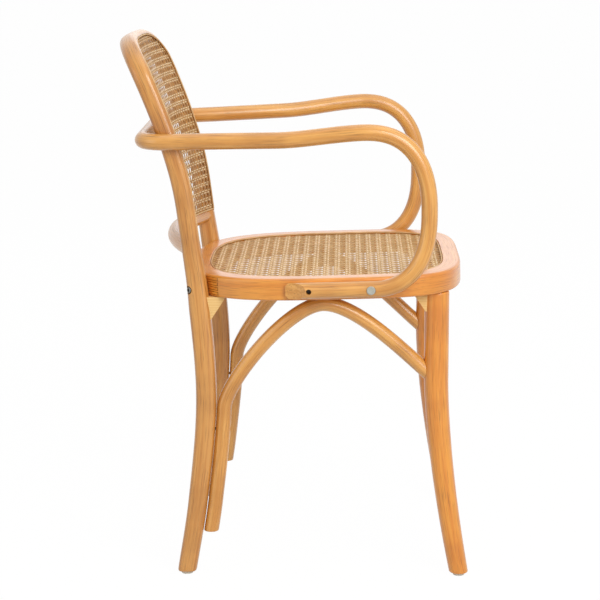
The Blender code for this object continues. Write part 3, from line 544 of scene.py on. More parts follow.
def write_grain(piece: bpy.types.Object, straight: np.ndarray, plank: int) -> None:
    """Write the grain attribute of a piece.

    Args:
        piece: the piece.
        straight: its points in the straight bar, the grain along the third column.
        plank: number of the plank that it was sawn from.
    """
    start = PLANK_STEP * plank
    layer = piece.data.attributes.new(GRAIN, "FLOAT_VECTOR", "POINT")
    layer.data.foreach_set("vector", np.ascontiguousarray(straight + start, dtype=np.float32).ravel())


# Finishes
def linear(code: str) -> tuple[float, float, float, float]:
    """Linear colour of an sRGB hex code, with full alpha."""
    parts = [int(code[k : k + 2], 16) / 255 for k in (1, 3, 5)]
    r, g, b = (p / 12.92 if p <= 0.04045 else ((p + 0.055) / 1.055) ** 2.4 for p in parts)
    return (r, g, b, 1.0)


def add_node(
    tree: bpy.types.NodeTree, kind: str, inputs: dict[str | int, object] | None = None, **settings: object
) -> bpy.types.Node:
    """Add a node to a material or to the world.

    Args:
        tree: the node tree that it goes into.
        kind: the node's type.
        inputs: for each input, by name or place, the socket it is linked from or its value.
        settings: the node's own settings.

    Returns:
        The node.
    """
    node = tree.nodes.new(kind)
    for key, value in settings.items():
        setattr(node, key, value)
    for key, value in (inputs or {}).items():
        if isinstance(value, bpy.types.NodeSocket):
            tree.links.new(value, node.inputs[key])
        else:
            node.inputs[key].default_value = value
    return node


def new_finish(name: str) -> tuple[bpy.types.Material, bpy.types.NodeTree]:
    """Empty material with nodes, and its tree."""
    finish = bpy.data.materials.new(name)
    finish.use_nodes = True
    finish.node_tree.nodes.clear()
    return finish, finish.node_tree


@dataclass(frozen=True)
class Pattern:
    """Noise of a material, by its changes per metre along each axis of the straight bar."""

    changes: tuple[float, float, float]
    detail: float = 2.0
    roughness: float = 0.5
    distortion: float = 0.0


@dataclass(frozen=True)
class Tint:
    """Colour that comes in between two strengths of a pattern, up to its largest share."""

    colour: str
    pattern: str
    start: float
    end: float
    most: float = 1.0


@dataclass(frozen=True)
class Skin:
    """How a material's surface takes the light over its pattern.

    The roughness goes from the first to the second value of rough over a span of the pattern. The pattern
    stands out, or is sunk, to a depth in metres and as strongly as relief says.
    """

    rough: tuple[float, float]
    relief: float
    depth: float
    span: tuple[float, float] = (0.0, 1.0)
    sunk: bool = False

    def lay(
        self,
        tree: bpy.types.NodeTree,
        colour: bpy.types.NodeSocket,
        pattern: bpy.types.NodeSocket,
        fixed: dict[str, float],
    ) -> None:
        """Lay the surface over a material's colour.

        Args:
            tree: the material's node tree.
            colour: socket with the colour.
            pattern: socket with the pattern that gloss and relief follow.
            fixed: shader inputs that are the same all over.
        """
        (low, high), (smooth, rough) = self.span, self.rough
        span = {"From Min": low, "From Max": high, "To Min": smooth, "To Max": rough}
        gloss = add_node(tree, "ShaderNodeMapRange", {"Value": pattern, **span})
        depth = {"Strength": self.relief, "Distance": self.depth}
        relief = add_node(tree, "ShaderNodeBump", {"Height": pattern, **depth}, invert=self.sunk)
        surface = {"Base Color": colour, "Roughness": gloss.outputs[0], "Normal": relief.outputs[0]}
        shader = add_node(tree, "ShaderNodeBsdfPrincipled", {**surface, **fixed})
        add_node(tree, "ShaderNodeOutputMaterial", {"Surface": shader.outputs[0]})


# Span that most of a noise's values lie in
NOISE_SPAN = (0.3, 0.7)


def along_grain(width: float, stretch: float) -> tuple[float, float, float]:
    """Changes per metre of a pattern that is a width wide and stretch times as long."""
    return (1 / width, 1 / width, 1 / (stretch * width))


def grained_colour(
    tree: bpy.types.NodeTree, base: str, patterns: dict[str, Pattern], tints: Sequence[Tint]
) -> tuple[bpy.types.NodeSocket, dict[str, bpy.types.NodeSocket]]:
    """Colour that changes along the grain.

    Args:
        tree: the material's node tree.
        base: hex code of the ground colour.
        patterns: the material's patterns by name.
        tints: colours laid over the ground, one after the other.

    Returns:
        Socket with the colour, and each pattern's socket by name.
    """
    grain = add_node(tree, "ShaderNodeAttribute", attribute_name=GRAIN, attribute_type="GEOMETRY")
    place = grain.outputs["Vector"]
    drawn = {}
    for name, pattern in patterns.items():
        scaled = add_node(tree, "ShaderNodeVectorMath", {0: place, 1: pattern.changes}, operation="MULTIPLY")
        shape = {"Detail": pattern.detail, "Roughness": pattern.roughness, "Distortion": pattern.distortion}
        noise = add_node(tree, "ShaderNodeTexNoise", {"Vector": scaled.outputs[0], "Scale": 1.0, **shape})
        drawn[name] = noise.outputs[0]
    colour = linear(base)
    for tint in tints:
        span = {"From Min": tint.start, "From Max": tint.end, "To Max": tint.most}
        share = add_node(
            tree,
            "ShaderNodeMapRange",
            {"Value": drawn[tint.pattern], **span},
            interpolation_type="SMOOTHSTEP",
        )
        both = {"Factor": share.outputs[0], 6: colour, 7: linear(tint.colour)}
        colour = add_node(tree, "ShaderNodeMix", both, data_type="RGBA").outputs[2]
    return colour, drawn


@dataclass(frozen=True)
class LacqueredBentwood:
    """Steam-bent beech, stained honey and sprayed with clear satin lacquer.

    The eye gets long fibres that follow each bend, slow bands of lighter and redder wood, short dark
    pores, and a soft skin of lacquer over them.
    """

    name: str
    light: str
    middle: str
    deep: str
    pore: str
    band: float = 6.0 * MM
    fibre: float = 1.1 * MM
    patch: float = 60.0 * MM
    patch_across: float = 0.4
    ior: float = 1.5
    lacquer: float = 0.6
    lacquer_roughness: float = 0.2
    skin: Skin = Skin(rough=(0.3, 0.46), relief=0.06, depth=0.3 * MM, span=NOISE_SPAN, sunk=True)

    def build(self) -> bpy.types.Material:
        """Make the material."""
        finish, tree = new_finish(self.name)
        across = self.patch_across / self.patch
        patterns = {
            # Bands of early and late wood, 30 times as long as they are wide
            "bands": Pattern(along_grain(self.band, 30), detail=3.0, distortion=0.6),
            # Fibres, drawn about twice as coarse as beech so that they show in the picture
            "fibres": Pattern(along_grain(self.fibre, 40), roughness=0.6),
            "patches": Pattern((across, across, 1 / self.patch)),
        }
        tints = (
            Tint(self.middle, "bands", start=0.36, end=0.66),
            Tint(self.deep, "patches", start=0.42, end=0.72, most=0.4),
            Tint(self.pore, "fibres", start=0.52, end=0.74, most=0.62),
        )
        wood, drawn = grained_colour(tree, self.light, patterns, tints)
        coat = {"Coat Weight": self.lacquer, "Coat Roughness": self.lacquer_roughness}
        self.skin.lay(tree, wood, drawn["fibres"], {"IOR": self.ior, **coat})
        return finish


@dataclass(frozen=True)
class StrandFinish:
    """Split rattan: flat glossy rind strands, or the matt round reed that wedges them in.

    The eye gets fine lengthwise lines, a shade that changes from strand to strand and a little along each.
    """

    name: str
    pale: str
    tan: str
    line: str
    sheen: float
    sheen_span: float = 0.18
    relief: float = 0.15
    ior: float = 1.5
    fibre: float = 0.5 * MM
    patch: float = 30.0 * MM
    patch_across: float = 0.3

    def build(self) -> bpy.types.Material:
        """Make the material."""
        finish, tree = new_finish(self.name)
        across = self.patch_across / self.patch
        patterns = {
            # Lines along the strand, 50 times as long as they are wide
            "lines": Pattern(along_grain(self.fibre, 50)),
            "patches": Pattern((across, across, 1 / self.patch), detail=3.0),
        }
        tints = (
            Tint(self.tan, "patches", start=0.35, end=0.65),
            Tint(self.line, "lines", start=0.5, end=0.75, most=0.6),
        )
        colour, drawn = grained_colour(tree, self.pale, patterns, tints)
        skin = Skin((self.sheen, self.sheen + self.sheen_span), self.relief, depth=0.2 * MM, span=NOISE_SPAN)
        skin.lay(tree, colour, drawn["lines"], {"IOR": self.ior})
        return finish


@dataclass(frozen=True)
class SawnSoftwood:
    """Planed pine left raw: pale, with darker late-wood lines and a dry surface."""

    name: str = "pine_planed_raw"
    early: str = "#EDC582"
    late: str = "#DFAE66"
    ring: float = 4.0 * MM
    fibre: float = 0.8 * MM
    skin: Skin = Skin(rough=(0.6, 0.85), relief=0.3, depth=0.4 * MM)

    def build(self) -> bpy.types.Material:
        """Make the material."""
        finish, tree = new_finish(self.name)
        place = add_node(tree, "ShaderNodeTexCoord").outputs["Object"]
        # Late-wood lines lie a ring's width apart and run along the blocks
        ring_place = add_node(
            tree,
            "ShaderNodeVectorMath",
            {0: place, 1: (0.08 / self.ring, 0.6 / self.ring, 1 / self.ring)},
            operation="MULTIPLY",
        )
        rings = add_node(
            tree,
            "ShaderNodeTexWave",
            {"Vector": ring_place.outputs[0], "Scale": 0.32, "Distortion": 1.6, "Detail": 2.0},
            wave_type="BANDS",
            bands_direction="Z",
        )
        # Fibres, 20 times as long as they are wide
        changes = (0.05 / self.fibre, 1 / self.fibre, 1 / self.fibre)
        scaled = add_node(tree, "ShaderNodeVectorMath", {0: place, 1: changes}, operation="MULTIPLY")
        fibres = add_node(
            tree, "ShaderNodeTexNoise", {"Vector": scaled.outputs[0], "Scale": 1.0, "Detail": 3.0}
        ).outputs[0]
        share = add_node(tree, "ShaderNodeMath", {0: rings.outputs[1], 1: fibres}, operation="MULTIPLY")
        shades = {"Factor": share.outputs[0], 6: linear(self.early), 7: linear(self.late)}
        colour = add_node(tree, "ShaderNodeMix", shades, data_type="RGBA").outputs[2]
        self.skin.lay(tree, colour, fibres, {})
        return finish


@dataclass(frozen=True)
class FittingFinish:
    """Small fittings: oxidised or plated steel, and moulded plastics.

    The eye gets a fine mottle of two near shades, with the gloss changing over it.
    """

    name: str
    base: str
    mottle: str
    metallic: float
    rough_low: float
    rough_high: float
    grit: float = 1.2 * MM
    relief: float = 0.1

    def build(self) -> bpy.types.Material:
        """Make the material."""
        finish, tree = new_finish(self.name)
        place = add_node(tree, "ShaderNodeTexCoord").outputs["Object"]
        spots = add_node(
            tree,
            "ShaderNodeTexNoise",
            {"Vector": place, "Scale": 1 / self.grit, "Detail": 4.0, "Roughness": 0.6},
        ).outputs[0]
        share = add_node(
            tree,
            "ShaderNodeMapRange",
            {"Value": spots, "From Min": 0.35, "From Max": 0.65},
            interpolation_type="SMOOTHSTEP",
        )
        shades = {"Factor": share.outputs[0], 6: linear(self.base), 7: linear(self.mottle)}
        colour = add_node(tree, "ShaderNodeMix", shades, data_type="RGBA").outputs[2]
        skin = Skin((self.rough_low, self.rough_high), self.relief, depth=0.1 * MM)
        skin.lay(tree, colour, spots, {"Metallic": self.metallic})
        return finish


@dataclass
class Finishes:
    """All finishes of the chair, made once."""

    wood: bpy.types.Material = field(init=False)
    painted_shade_hoop_wood: bpy.types.Material = field(init=False)
    painted_light_wood: bpy.types.Material = field(init=False)
    cane: bpy.types.Material = field(init=False)
    pale_cane: bpy.types.Material = field(init=False)
    brown_cane: bpy.types.Material = field(init=False)
    reed: bpy.types.Material = field(init=False)
    raw: bpy.types.Material = field(init=False)
    black: bpy.types.Material = field(init=False)
    bolt: bpy.types.Material = field(init=False)
    zinc: bpy.types.Material = field(init=False)
    cap: bpy.types.Material = field(init=False)
    nylon: bpy.types.Material = field(init=False)

    def __post_init__(self) -> None:
        """Make the materials."""
        self.wood = LacqueredBentwood(
            "beech_bent_honey_satin_lacquer", "#E3A653", "#D08D3B", "#B47228", "#784A1B"
        ).build()
        # Darker, browner copy of the same beech for the back hoop: painted shade on the uprights and crown
        self.painted_shade_hoop_wood = LacqueredBentwood(
            "beech_bent_brown_satin_lacquer", "#D6984B", "#C38035", "#A66723", "#683E16"
        ).build()
        # Lighter, more orange copy of the same beech for the front legs and seat rails: painted light where
        # the front light falls
        self.painted_light_wood = LacqueredBentwood(
            "beech_turned_amber_satin_lacquer", "#E89A37", "#DB8626", "#C36D1A", "#8E4E14"
        ).build()
        # Each strand's name, pale and tan shade, shade of its lines and lowest roughness
        self.cane = StrandFinish("rattan_rind_split_woven", "#DCB57C", "#C79A5E", "#8E6433", 0.4).build()
        # Darker copy of the rind for the back's lengthwise and diagonal strands: painted shade that darkens
        # the holes of the back's weave
        self.brown_cane = StrandFinish(
            "rattan_rind_split_aged", "#C99A60", "#A67842", "#6A4521", 0.42
        ).build()
        # Paler copy of the rind for the strands that run across
        self.pale_cane = StrandFinish(
            "rattan_rind_split_bleached", "#F2DCB0", "#E4C592", "#B98E56", 0.34
        ).build()
        self.reed = StrandFinish("rattan_core_round_reed", "#DDB986", "#CBA069", "#A67C45", 0.5).build()
        self.raw = SawnSoftwood().build()
        # Each fitting's name, two shades, metallic share and both ends of its roughness
        self.black = FittingFinish("steel_black_oxide", "#34312D", "#4A4640", 0.85, 0.34, 0.56).build()
        self.bolt = FittingFinish("steel_turned_grey", "#6E6A63", "#8C8880", 0.9, 0.3, 0.5).build()
        self.zinc = FittingFinish("steel_zinc_plated", "#B9BAB6", "#D6D6D0", 1.0, 0.24, 0.44).build()
        self.cap = FittingFinish("abs_moulded_grey", "#A3A297", "#B4B3A8", 0.0, 0.36, 0.52).build()
        self.nylon = FittingFinish("nylon_moulded_milky", "#D8D0BE", "#E3DCCB", 0.0, 0.4, 0.6).build()


# Shape of the chair
@dataclass(frozen=True)
class BackLine:
    """Side view of the back and rear legs: where the hoop runs and how thick it is, by height."""

    keys: tuple[tuple[float, float], ...] = (
        (-0.1588, 0.0),
        (-0.1415, 0.111),
        (-0.1289, 0.265),
        (-0.1399, 0.415),
        (-0.1513, 0.497),
        (-0.1623, 0.574),
        (-0.1763, 0.629),
        (-0.2004, 0.698),
        (-0.2384, 0.788),
    )
    depth_keys: tuple[tuple[float, float], ...] = (
        (0.0, 0.028),
        (0.40, 0.032),
        (0.49, 0.028),
        (0.797, 0.0275),
    )
    width_keys: tuple[tuple[float, float], ...] = ((0.0, 0.026), (0.40, 0.029), (0.797, 0.0245))
    half_spacing: float = 0.165
    foot_splay: float = 0.039
    splay_start: float = 0.44
    splay_power: float = 1.1
    bend_rise: float = 0.060
    bend_reach: float = 0.137
    bend_power: float = 2.7
    crown_bow: float = 0.0125
    height: float = 0.797

    def x(self, z: np.ndarray | float) -> np.ndarray:
        """x of the hoop's centre at a height."""
        return smooth_through(self.keys, np.asarray(z, dtype=float))

    def y(self, z: np.ndarray | float) -> np.ndarray:
        """Half distance between the rear legs at a height."""
        drop = np.maximum(0.0, (self.splay_start - np.asarray(z)) / self.splay_start)
        return self.half_spacing + self.foot_splay * drop**self.splay_power

    def half_depth(self, z: np.ndarray | float) -> np.ndarray:
        """Half of the hoop's thickness from front to rear."""
        return straight_between(self.depth_keys, np.asarray(z)) / 2

    def half_width(self, z: np.ndarray | float) -> np.ndarray:
        """Half of the hoop's thickness from side to side."""
        return straight_between(self.width_keys, np.asarray(z)) / 2

    def lean(self, z: np.ndarray | float) -> np.ndarray:
        """Unit vectors square to the back, pointing forward."""
        step = 0.002
        z = np.asarray(z, dtype=float)
        slope = (self.x(z + step) - self.x(z - step)) / (2 * step)
        return unit(np.stack([np.ones_like(z), np.zeros_like(z), -slope], axis=-1))

    def front(self, z: np.ndarray | float) -> np.ndarray:
        """x of the hoop's front face at a height."""
        return self.x(z) + self.half_depth(z) / self.lean(z)[..., 0]

    def rear(self, z: np.ndarray | float) -> np.ndarray:
        """x of the hoop's rear face at a height."""
        return self.x(z) - self.half_depth(z) / self.lean(z)[..., 0]

    def sag(self, y: np.ndarray) -> np.ndarray:
        """Share of the back's bow at y: all of it in the middle, none at the uprights."""
        return np.maximum(0.0, 1 - (y / self.half_spacing) ** 2)

    @property
    def spring(self) -> float:
        """Height where the uprights begin to bend over."""
        return self.height - self.width_keys[-1][1] / 2 - self.bend_rise

    @property
    def flat(self) -> float:
        """Half length of the straight part of the top."""
        return self.half_spacing - self.bend_reach

    def bend(self, turn: np.ndarray) -> tuple[np.ndarray, np.ndarray]:
        """Heights and half widths of the crown's bend, from the upright to the top."""
        c, s = squared_circle(turn, self.bend_power)
        return self.spring + self.bend_rise * s, self.flat + self.bend_reach * c


@dataclass(frozen=True)
class SeatPlan:
    """Outline and slope of the seat."""

    front_height: float = 0.4615
    slope: float = 0.03
    thickness: float = 0.032
    middle_x: float = 0.0632
    front_reach: float = 0.1905
    rear_reach: float = 0.22
    half_width: float = 0.2235
    front_power: float = 4.0
    rear_power: float = 3.1
    rim: float = 0.026
    ledge: float = 0.014
    ledge_depth: float = 0.005
    rings: int = 240

    def top(self, x: float) -> float:
        """Height of the seat's top at x."""
        return self.front_height + self.slope * (x - self.middle_x - self.front_reach)

    def bottom(self, x: float) -> float:
        """Height of the seat's underside at x."""
        return self.top(x) - self.thickness

    def ring(self, angle: np.ndarray, shrink: np.ndarray | float) -> np.ndarray:
        """Points of the outline.

        Args:
            angle: angles round the seat, 0 at the middle of the front.
            shrink: distance that the outline is drawn in by.

        Returns:
            (x, y) rows, level with the seat's own plane.
        """
        ahead = np.cos(angle) >= 0
        c, s = squared_circle(angle, np.where(ahead, self.front_power, self.rear_power))
        reach = np.where(ahead, self.front_reach, self.rear_reach)
        return np.stack([self.middle_x + (reach - shrink) * c, (self.half_width - shrink) * s], axis=-1)

    def even_angles(self, count: int) -> np.ndarray:
        """Angles at which outline points lie at even distances round the seat."""
        fine = np.linspace(0.0, 2 * math.pi, 20001)
        run = run_along(self.ring(fine, 0.0))
        return np.interp(np.arange(count) / count * run[-1], run, fine)

    def ring_angles(self, share: np.ndarray) -> np.ndarray:
        """Angles of a ring's points, from the share of the way round at which each one lies."""
        step = np.mod(np.rint(share * self.rings).astype(int), self.rings)
        return self.even_angles(self.rings)[step]

    def holds(self, x: np.ndarray, y: np.ndarray, shrink: float) -> np.ndarray:
        """Whether points lie inside the outline that is drawn in by shrink."""
        ahead = x >= self.middle_x
        reach = np.where(ahead, self.front_reach, self.rear_reach) - shrink
        power = np.where(ahead, self.front_power, self.rear_power)
        far = np.abs((x - self.middle_x) / reach) ** power + np.abs(y / (self.half_width - shrink)) ** power
        return far <= 1.0

    def tilt(self, points: np.ndarray) -> np.ndarray:
        """Carry points of the level seat to its height and slope."""
        turn = math.atan(self.slope)
        c, s = math.cos(turn), math.sin(turn)
        x = points[:, 0] * c - points[:, 2] * s
        z = points[:, 0] * s + points[:, 2] * c + self.top(0.0)
        return np.stack([x, points[:, 1], z], axis=-1)

    def closed_line(self, count: int, shrink: float, level: float) -> np.ndarray:
        """Closed line round the seat.

        Args:
            count: number of points, before the first one is repeated at the end.
            shrink: distance inside the outline.
            level: distance above the seat's top.

        Returns:
            The points.
        """
        angle = self.even_angles(count)
        ring = self.ring(np.append(angle, angle[0]), shrink)
        return self.tilt(np.column_stack([ring, np.full(count + 1, level)]))

    @property
    def square(self) -> Vector:
        """Unit vector square to the seat, pointing up."""
        return Vector((-self.slope, 0.0, 1.0)).normalized()


BACK = BackLine()
SEAT = SeatPlan()
SOLE = 0.0043
RAIL_HEIGHT = 0.49
RAIL_BOW = 0.034
CANE_THICKNESS = 0.002
SPLINE_RADIUS = 0.0012
BOLT_ANGLE = math.radians(36)
BOLT_LENGTH = 0.072
WASHER_THICKNESS = 0.0012
SCREW_HOLE_RADIUS = 0.0039
SCREW_HEAD_DEPTH = 0.0028
DRILL_REACH = 0.03
UP = Vector((0.0, 0.0, 1.0))
FORWARD = Vector((1.0, 0.0, 0.0))


def bolt_way(side: Side) -> Vector:
    """Unit vector along a rear leg's bolt, forward and in to the middle of the chair."""
    return Vector((math.cos(BOLT_ANGLE), -side.value * math.sin(BOLT_ANGLE), 0.0))


def mirrored(line: np.ndarray) -> np.ndarray:
    """The same line on the other side of the chair."""
    return line * np.array([1.0, -1.0, 1.0])


@dataclass
class BackPanelShape:
    """Surface that the back's cane lies on: bowed like the rail at its foot, like the crown at its top."""

    setback: float = 0.0032
    lap: float = 0.019
    over_rail: float = 0.0085

    @property
    def bottom(self) -> float:
        """Height of the panel's foot."""
        return RAIL_HEIGHT + self.over_rail

    @property
    def over(self) -> float:
        """Distance of the panel's edge outside the hoop's centre line."""
        return self.lap - float(BACK.half_width(BACK.spring))

    def half(self, z: np.ndarray, grow: float) -> np.ndarray:
        """Half width of the panel at a height, let out by grow."""
        over = self.over + grow
        rise = np.clip((z - BACK.spring) / (BACK.bend_rise + over), 0.0, 1.0)
        return BACK.flat + (BACK.bend_reach + over) * (1 - rise**BACK.bend_power) ** (1 / BACK.bend_power)

    def surface(self, y: np.ndarray, z: np.ndarray, forward: np.ndarray | float) -> np.ndarray:
        """Points at a distance in front of the panel's middle surface.

        Args:
            y: distance from the middle of the chair.
            z: height.
            forward: distance square to the panel.

        Returns:
            The points.
        """
        rise = (z - RAIL_HEIGHT) / (BACK.height - RAIL_HEIGHT)
        bow = RAIL_BOW + (BACK.crown_bow - RAIL_BOW) * rise
        x = BACK.front(z) - self.setback - bow * BACK.sag(y)
        return np.stack([x, y, z], axis=-1) + BACK.lean(z) * np.reshape(forward, (-1, 1))

    def heights(self, share: np.ndarray, grow: float) -> np.ndarray:
        """Heights from the panel's foot to its top, closer together in the rounded corners."""
        bottom = self.bottom - grow
        turn = np.clip((share - 0.5) * math.pi, 0.0, math.pi / 2)
        bend = (BACK.bend_rise + self.over + grow) * squared_circle(turn, BACK.bend_power)[1]
        return np.where(share <= 0.5, bottom + (BACK.spring - bottom) * share * 2, BACK.spring + bend)

    def rebate_cutter(self, name: str) -> bpy.types.Object:
        """Slab that clears the room for the panel, open to the front."""
        slab = unit_block(name)
        cut_along(slab, Axis.Y, (24,))
        cut_along(slab, Axis.Z, (56,))
        place = points_of(slab)
        z = self.heights(place[:, 2] + 0.5, GAP)
        y = place[:, 1] * 2 * self.half(z, GAP)
        forward = np.where(place[:, 0] > 0, DRILL_REACH, -CANE_THICKNESS / 2 - GAP)
        move_points(slab, self.surface(y, z, forward))
        face_outwards(slab)
        return slab

    def edge_line(self, drawn_in: float, forward: float) -> np.ndarray:
        """Closed line round the panel's edge.

        Args:
            drawn_in: distance inside the edge.
            forward: distance in front of the panel's middle surface.

        Returns:
            Points of the line, the first one repeated at the end.
        """
        share = np.linspace(0.0, 1.0, 200)
        z = self.heights(share, -drawn_in)
        y = self.half(z, -drawn_in)
        right = self.surface(-y, z, forward)
        top_y = np.linspace(-BACK.flat, BACK.flat, 60)[1:-1]
        top = self.surface(top_y, np.full_like(top_y, z[-1]), forward)
        left = self.surface(y[::-1], z[::-1], forward)
        foot_y = np.linspace(y[0], -y[0], 80)[1:]
        foot = self.surface(foot_y, np.full_like(foot_y, z[0]), forward)
        return np.concatenate([right, top, left, foot])


# Sub-assemblies
@dataclass
class HoopBack:
    """Bent hoop of the back with its bowed lower rail."""

    finishes: Finishes
    panel: BackPanelShape
    section_power: float = 3.0
    foot_rounding: float = 0.0025
    rail_radius: float = 0.013
    counterbore_radius: float = 0.0065
    stations: int = 801

    def former(self, grow: float = 0.0) -> Former:
        """Line of the hoop from the right foot over the crown to the left foot, let out by grow."""
        z = np.linspace(SOLE, BACK.spring, 240)
        leg = np.stack([BACK.x(z), BACK.y(z), z], axis=-1)
        rise, out = BACK.bend(np.linspace(0.0, math.pi / 2, 200)[1:])
        rise = np.append(rise, np.full(20, rise[-1]))
        out = np.append(out, np.linspace(out[-1], 0.0, 21)[1:])
        crown = np.stack([BACK.x(rise) - BACK.crown_bow * BACK.sag(out), out, rise], axis=-1)
        half = np.concatenate([leg, crown])
        line = even_steps(np.concatenate([mirrored(half), half[::-1]]), self.stations)
        height = line[:, 2]
        return Former(
            line,
            BACK.half_depth(height) + grow,
            BACK.half_width(height) + grow,
            BACK.lean(height),
            first=UP,
            last=-UP,
        )

    def hoop_bar(self, name: str, grow: float = 0.0) -> bpy.types.Object:
        """The hoop before it is cut, or the room that its neighbours leave it."""
        return self.former(grow).bend_bar(name, sides=32, rings=(67, 4), power=self.section_power)

    def rail_former(self) -> Former:
        """Line of the lower rail."""
        y = np.linspace(-BACK.half_spacing, BACK.half_spacing, 121)
        x = BACK.x(RAIL_HEIGHT) - RAIL_BOW * BACK.sag(y)
        line = np.stack([x, y, np.full_like(y, RAIL_HEIGHT)], axis=-1)
        thick = np.full(len(y), self.rail_radius)
        return Former(line, thick, thick)

    def build(self) -> None:
        """Bend, cut and dress the hoop and the rail."""
        rebate = self.panel.rebate_cutter("back_rebate")
        hoop = self.hoop_bar("bent_back_hoop")
        round_edges(hoop, self.foot_rounding)
        cut_with(hoop, rebate)
        for side in Side:
            way = bolt_way(side)
            floor = cad_box("rear_leg_washer_" + side.word)[2] + way * (WASHER_THICKNESS / 2 + GAP)
            drill(hoop, floor, floor - way * DRILL_REACH, self.counterbore_radius)
        self.former().lay_grain(hoop, 1)
        # The hoop takes the darker copy of the beech, which is painted shade
        finish_piece(hoop, self.finishes.painted_shade_hoop_wood, ["back_hoop"])
        rail = self.rail_former().bend_bar("bowed_lower_rail", sides=28, rings=(60,))
        room = self.hoop_bar("hoop_room", GAP)
        cut_with(rail, room)
        cut_with(rail, rebate)
        discard(room, rebate)
        self.rail_former().lay_grain(rail, 2)
        finish_piece(rail, self.finishes.wood, ["back_lower_rail"])


@dataclass
class SeatFrame:
    """Seat frame: one rail bent round the front and sides, and a rear rail finger-jointed to it."""

    finishes: Finishes
    hoop: HoopBack
    top_rounding: float = 0.0045
    bottom_rounding: float = 0.003
    flat_width: float = 0.008
    rebate_chamfer: float = 0.0006
    ledge_chamfer: float = 0.001
    rear_half_length: float = 0.124
    rear_front_x: float = -0.0918
    finger_x: float = -0.1114
    finger_count: int = 4
    # Wider than the 0.3 mm of the solids, so that the joint's lines show in the picture
    finger_gap: float = 0.0007
    past_rear: float = -0.22
    past_side: float = 0.26
    past_bottom: float = -0.07
    past_top: float = 0.03

    def profile(self) -> list[tuple[float, float]]:
        """Section of the frame as (distance inside the outline, height), round from the rebate's corner."""
        plan, top, low = SEAT, self.top_rounding, self.bottom_rounding
        fine, coarse = self.rebate_chamfer, self.ledge_chamfer
        section = [(plan.rim, -plan.ledge_depth), (plan.rim, -fine), (plan.rim - fine, 0.0)]
        section += [(plan.rim - self.flat_width, 0.0)]
        for k in range(6):
            angle = math.pi / 2 * k / 5
            section.append((top - top * math.sin(angle), top * math.cos(angle) - top))
        section.append((0.0, -plan.thickness / 2))
        for k in range(5):
            angle = math.pi / 2 * k / 4
            section.append((low - low * math.cos(angle), -plan.thickness + low - low * math.sin(angle)))
        inner = plan.rim + plan.ledge
        section += [(plan.rim, -plan.thickness), (inner - coarse, -plan.thickness)]
        section += [(inner, -plan.thickness + coarse), (inner, -plan.ledge_depth - coarse)]
        section += [(inner - coarse, -plan.ledge_depth)]
        return section

    def whole_ring(self, name: str) -> bpy.types.Object:
        """The frame's ring before it is divided."""
        section = np.array(self.profile())
        count = len(section)
        frame_ring, share, turn = plain_ring(name, SEAT.rings, count)
        step = np.mod(np.rint(turn / (2 * math.pi) * count).astype(int), count)
        level = SEAT.ring(SEAT.ring_angles(share), section[step, 0])
        move_points(frame_ring, SEAT.tilt(np.column_stack([level, section[step, 1]])))
        face_outwards(frame_ring)
        return frame_ring

    def block(self, name: str, low: Sequence[float], high: Sequence[float]) -> bpy.types.Object:
        """Square cutter between two corners, tilted with the seat."""
        cutter = unit_block(name)
        corner, far = np.array(low), np.array(high)
        move_points(cutter, SEAT.tilt(corner + (points_of(cutter) + 0.5) * (far - corner)))
        return cutter

    def rear_part(self, name: str, grow: float) -> bpy.types.Object:
        """Shape that holds the rear rail with its fingers, let out by grow."""
        reach = self.rear_half_length + grow
        low = (self.past_rear, -reach, self.past_bottom)
        whole = self.block(name, low, (self.rear_front_x + grow, reach, self.past_top))
        layer = SEAT.thickness / (2 * self.finger_count + 1)
        for k in range(self.finger_count):
            z = -SEAT.thickness + layer * (2 * k + 1)
            low = (self.past_rear + GAP, -self.past_side, z - grow)
            high = (self.finger_x + grow, self.past_side, z + layer + grow)
            finger = self.block(name + "_finger", low, high)
            cut_with(whole, finger, Cut.JOIN)
            discard(finger)
        return whole

    def former(self) -> Former:
        """Closed line along the middle of the frame, for the grain of the bent rail."""
        line = SEAT.closed_line(720, (SEAT.rim + SEAT.ledge) / 2, -SEAT.thickness / 2)
        thick = np.full(len(line), SEAT.rim)
        upright = np.tile(np.array(SEAT.square), (len(line), 1))
        return Former(line, thick, thick, upright, closed=True)

    def build(self) -> None:
        """Cut and dress both rails."""
        room = self.hoop.hoop_bar("hoop_room", GAP)
        bent = self.whole_ring("seat_rail_bent_round")
        rear = self.whole_ring("seat_rail_rear")
        for rail in (bent, rear):
            cut_with(rail, room)
        taken = self.rear_part("rear_room", self.finger_gap)
        cut_with(bent, taken)
        kept = self.rear_part("rear_shape", 0.0)
        cut_with(rear, kept, Cut.KEEP_INSIDE)
        discard(room, taken, kept)
        self.former().lay_grain(bent, 3)
        # Both seat rails take the lighter copy of the beech, which is painted light
        finish_piece(bent, self.finishes.painted_light_wood, ["seat_bent_rail"])
        write_grain(rear, points_of(rear)[:, [0, 2, 1]], 4)
        finish_piece(rear, self.finishes.painted_light_wood, ["seat_rear_rail"])


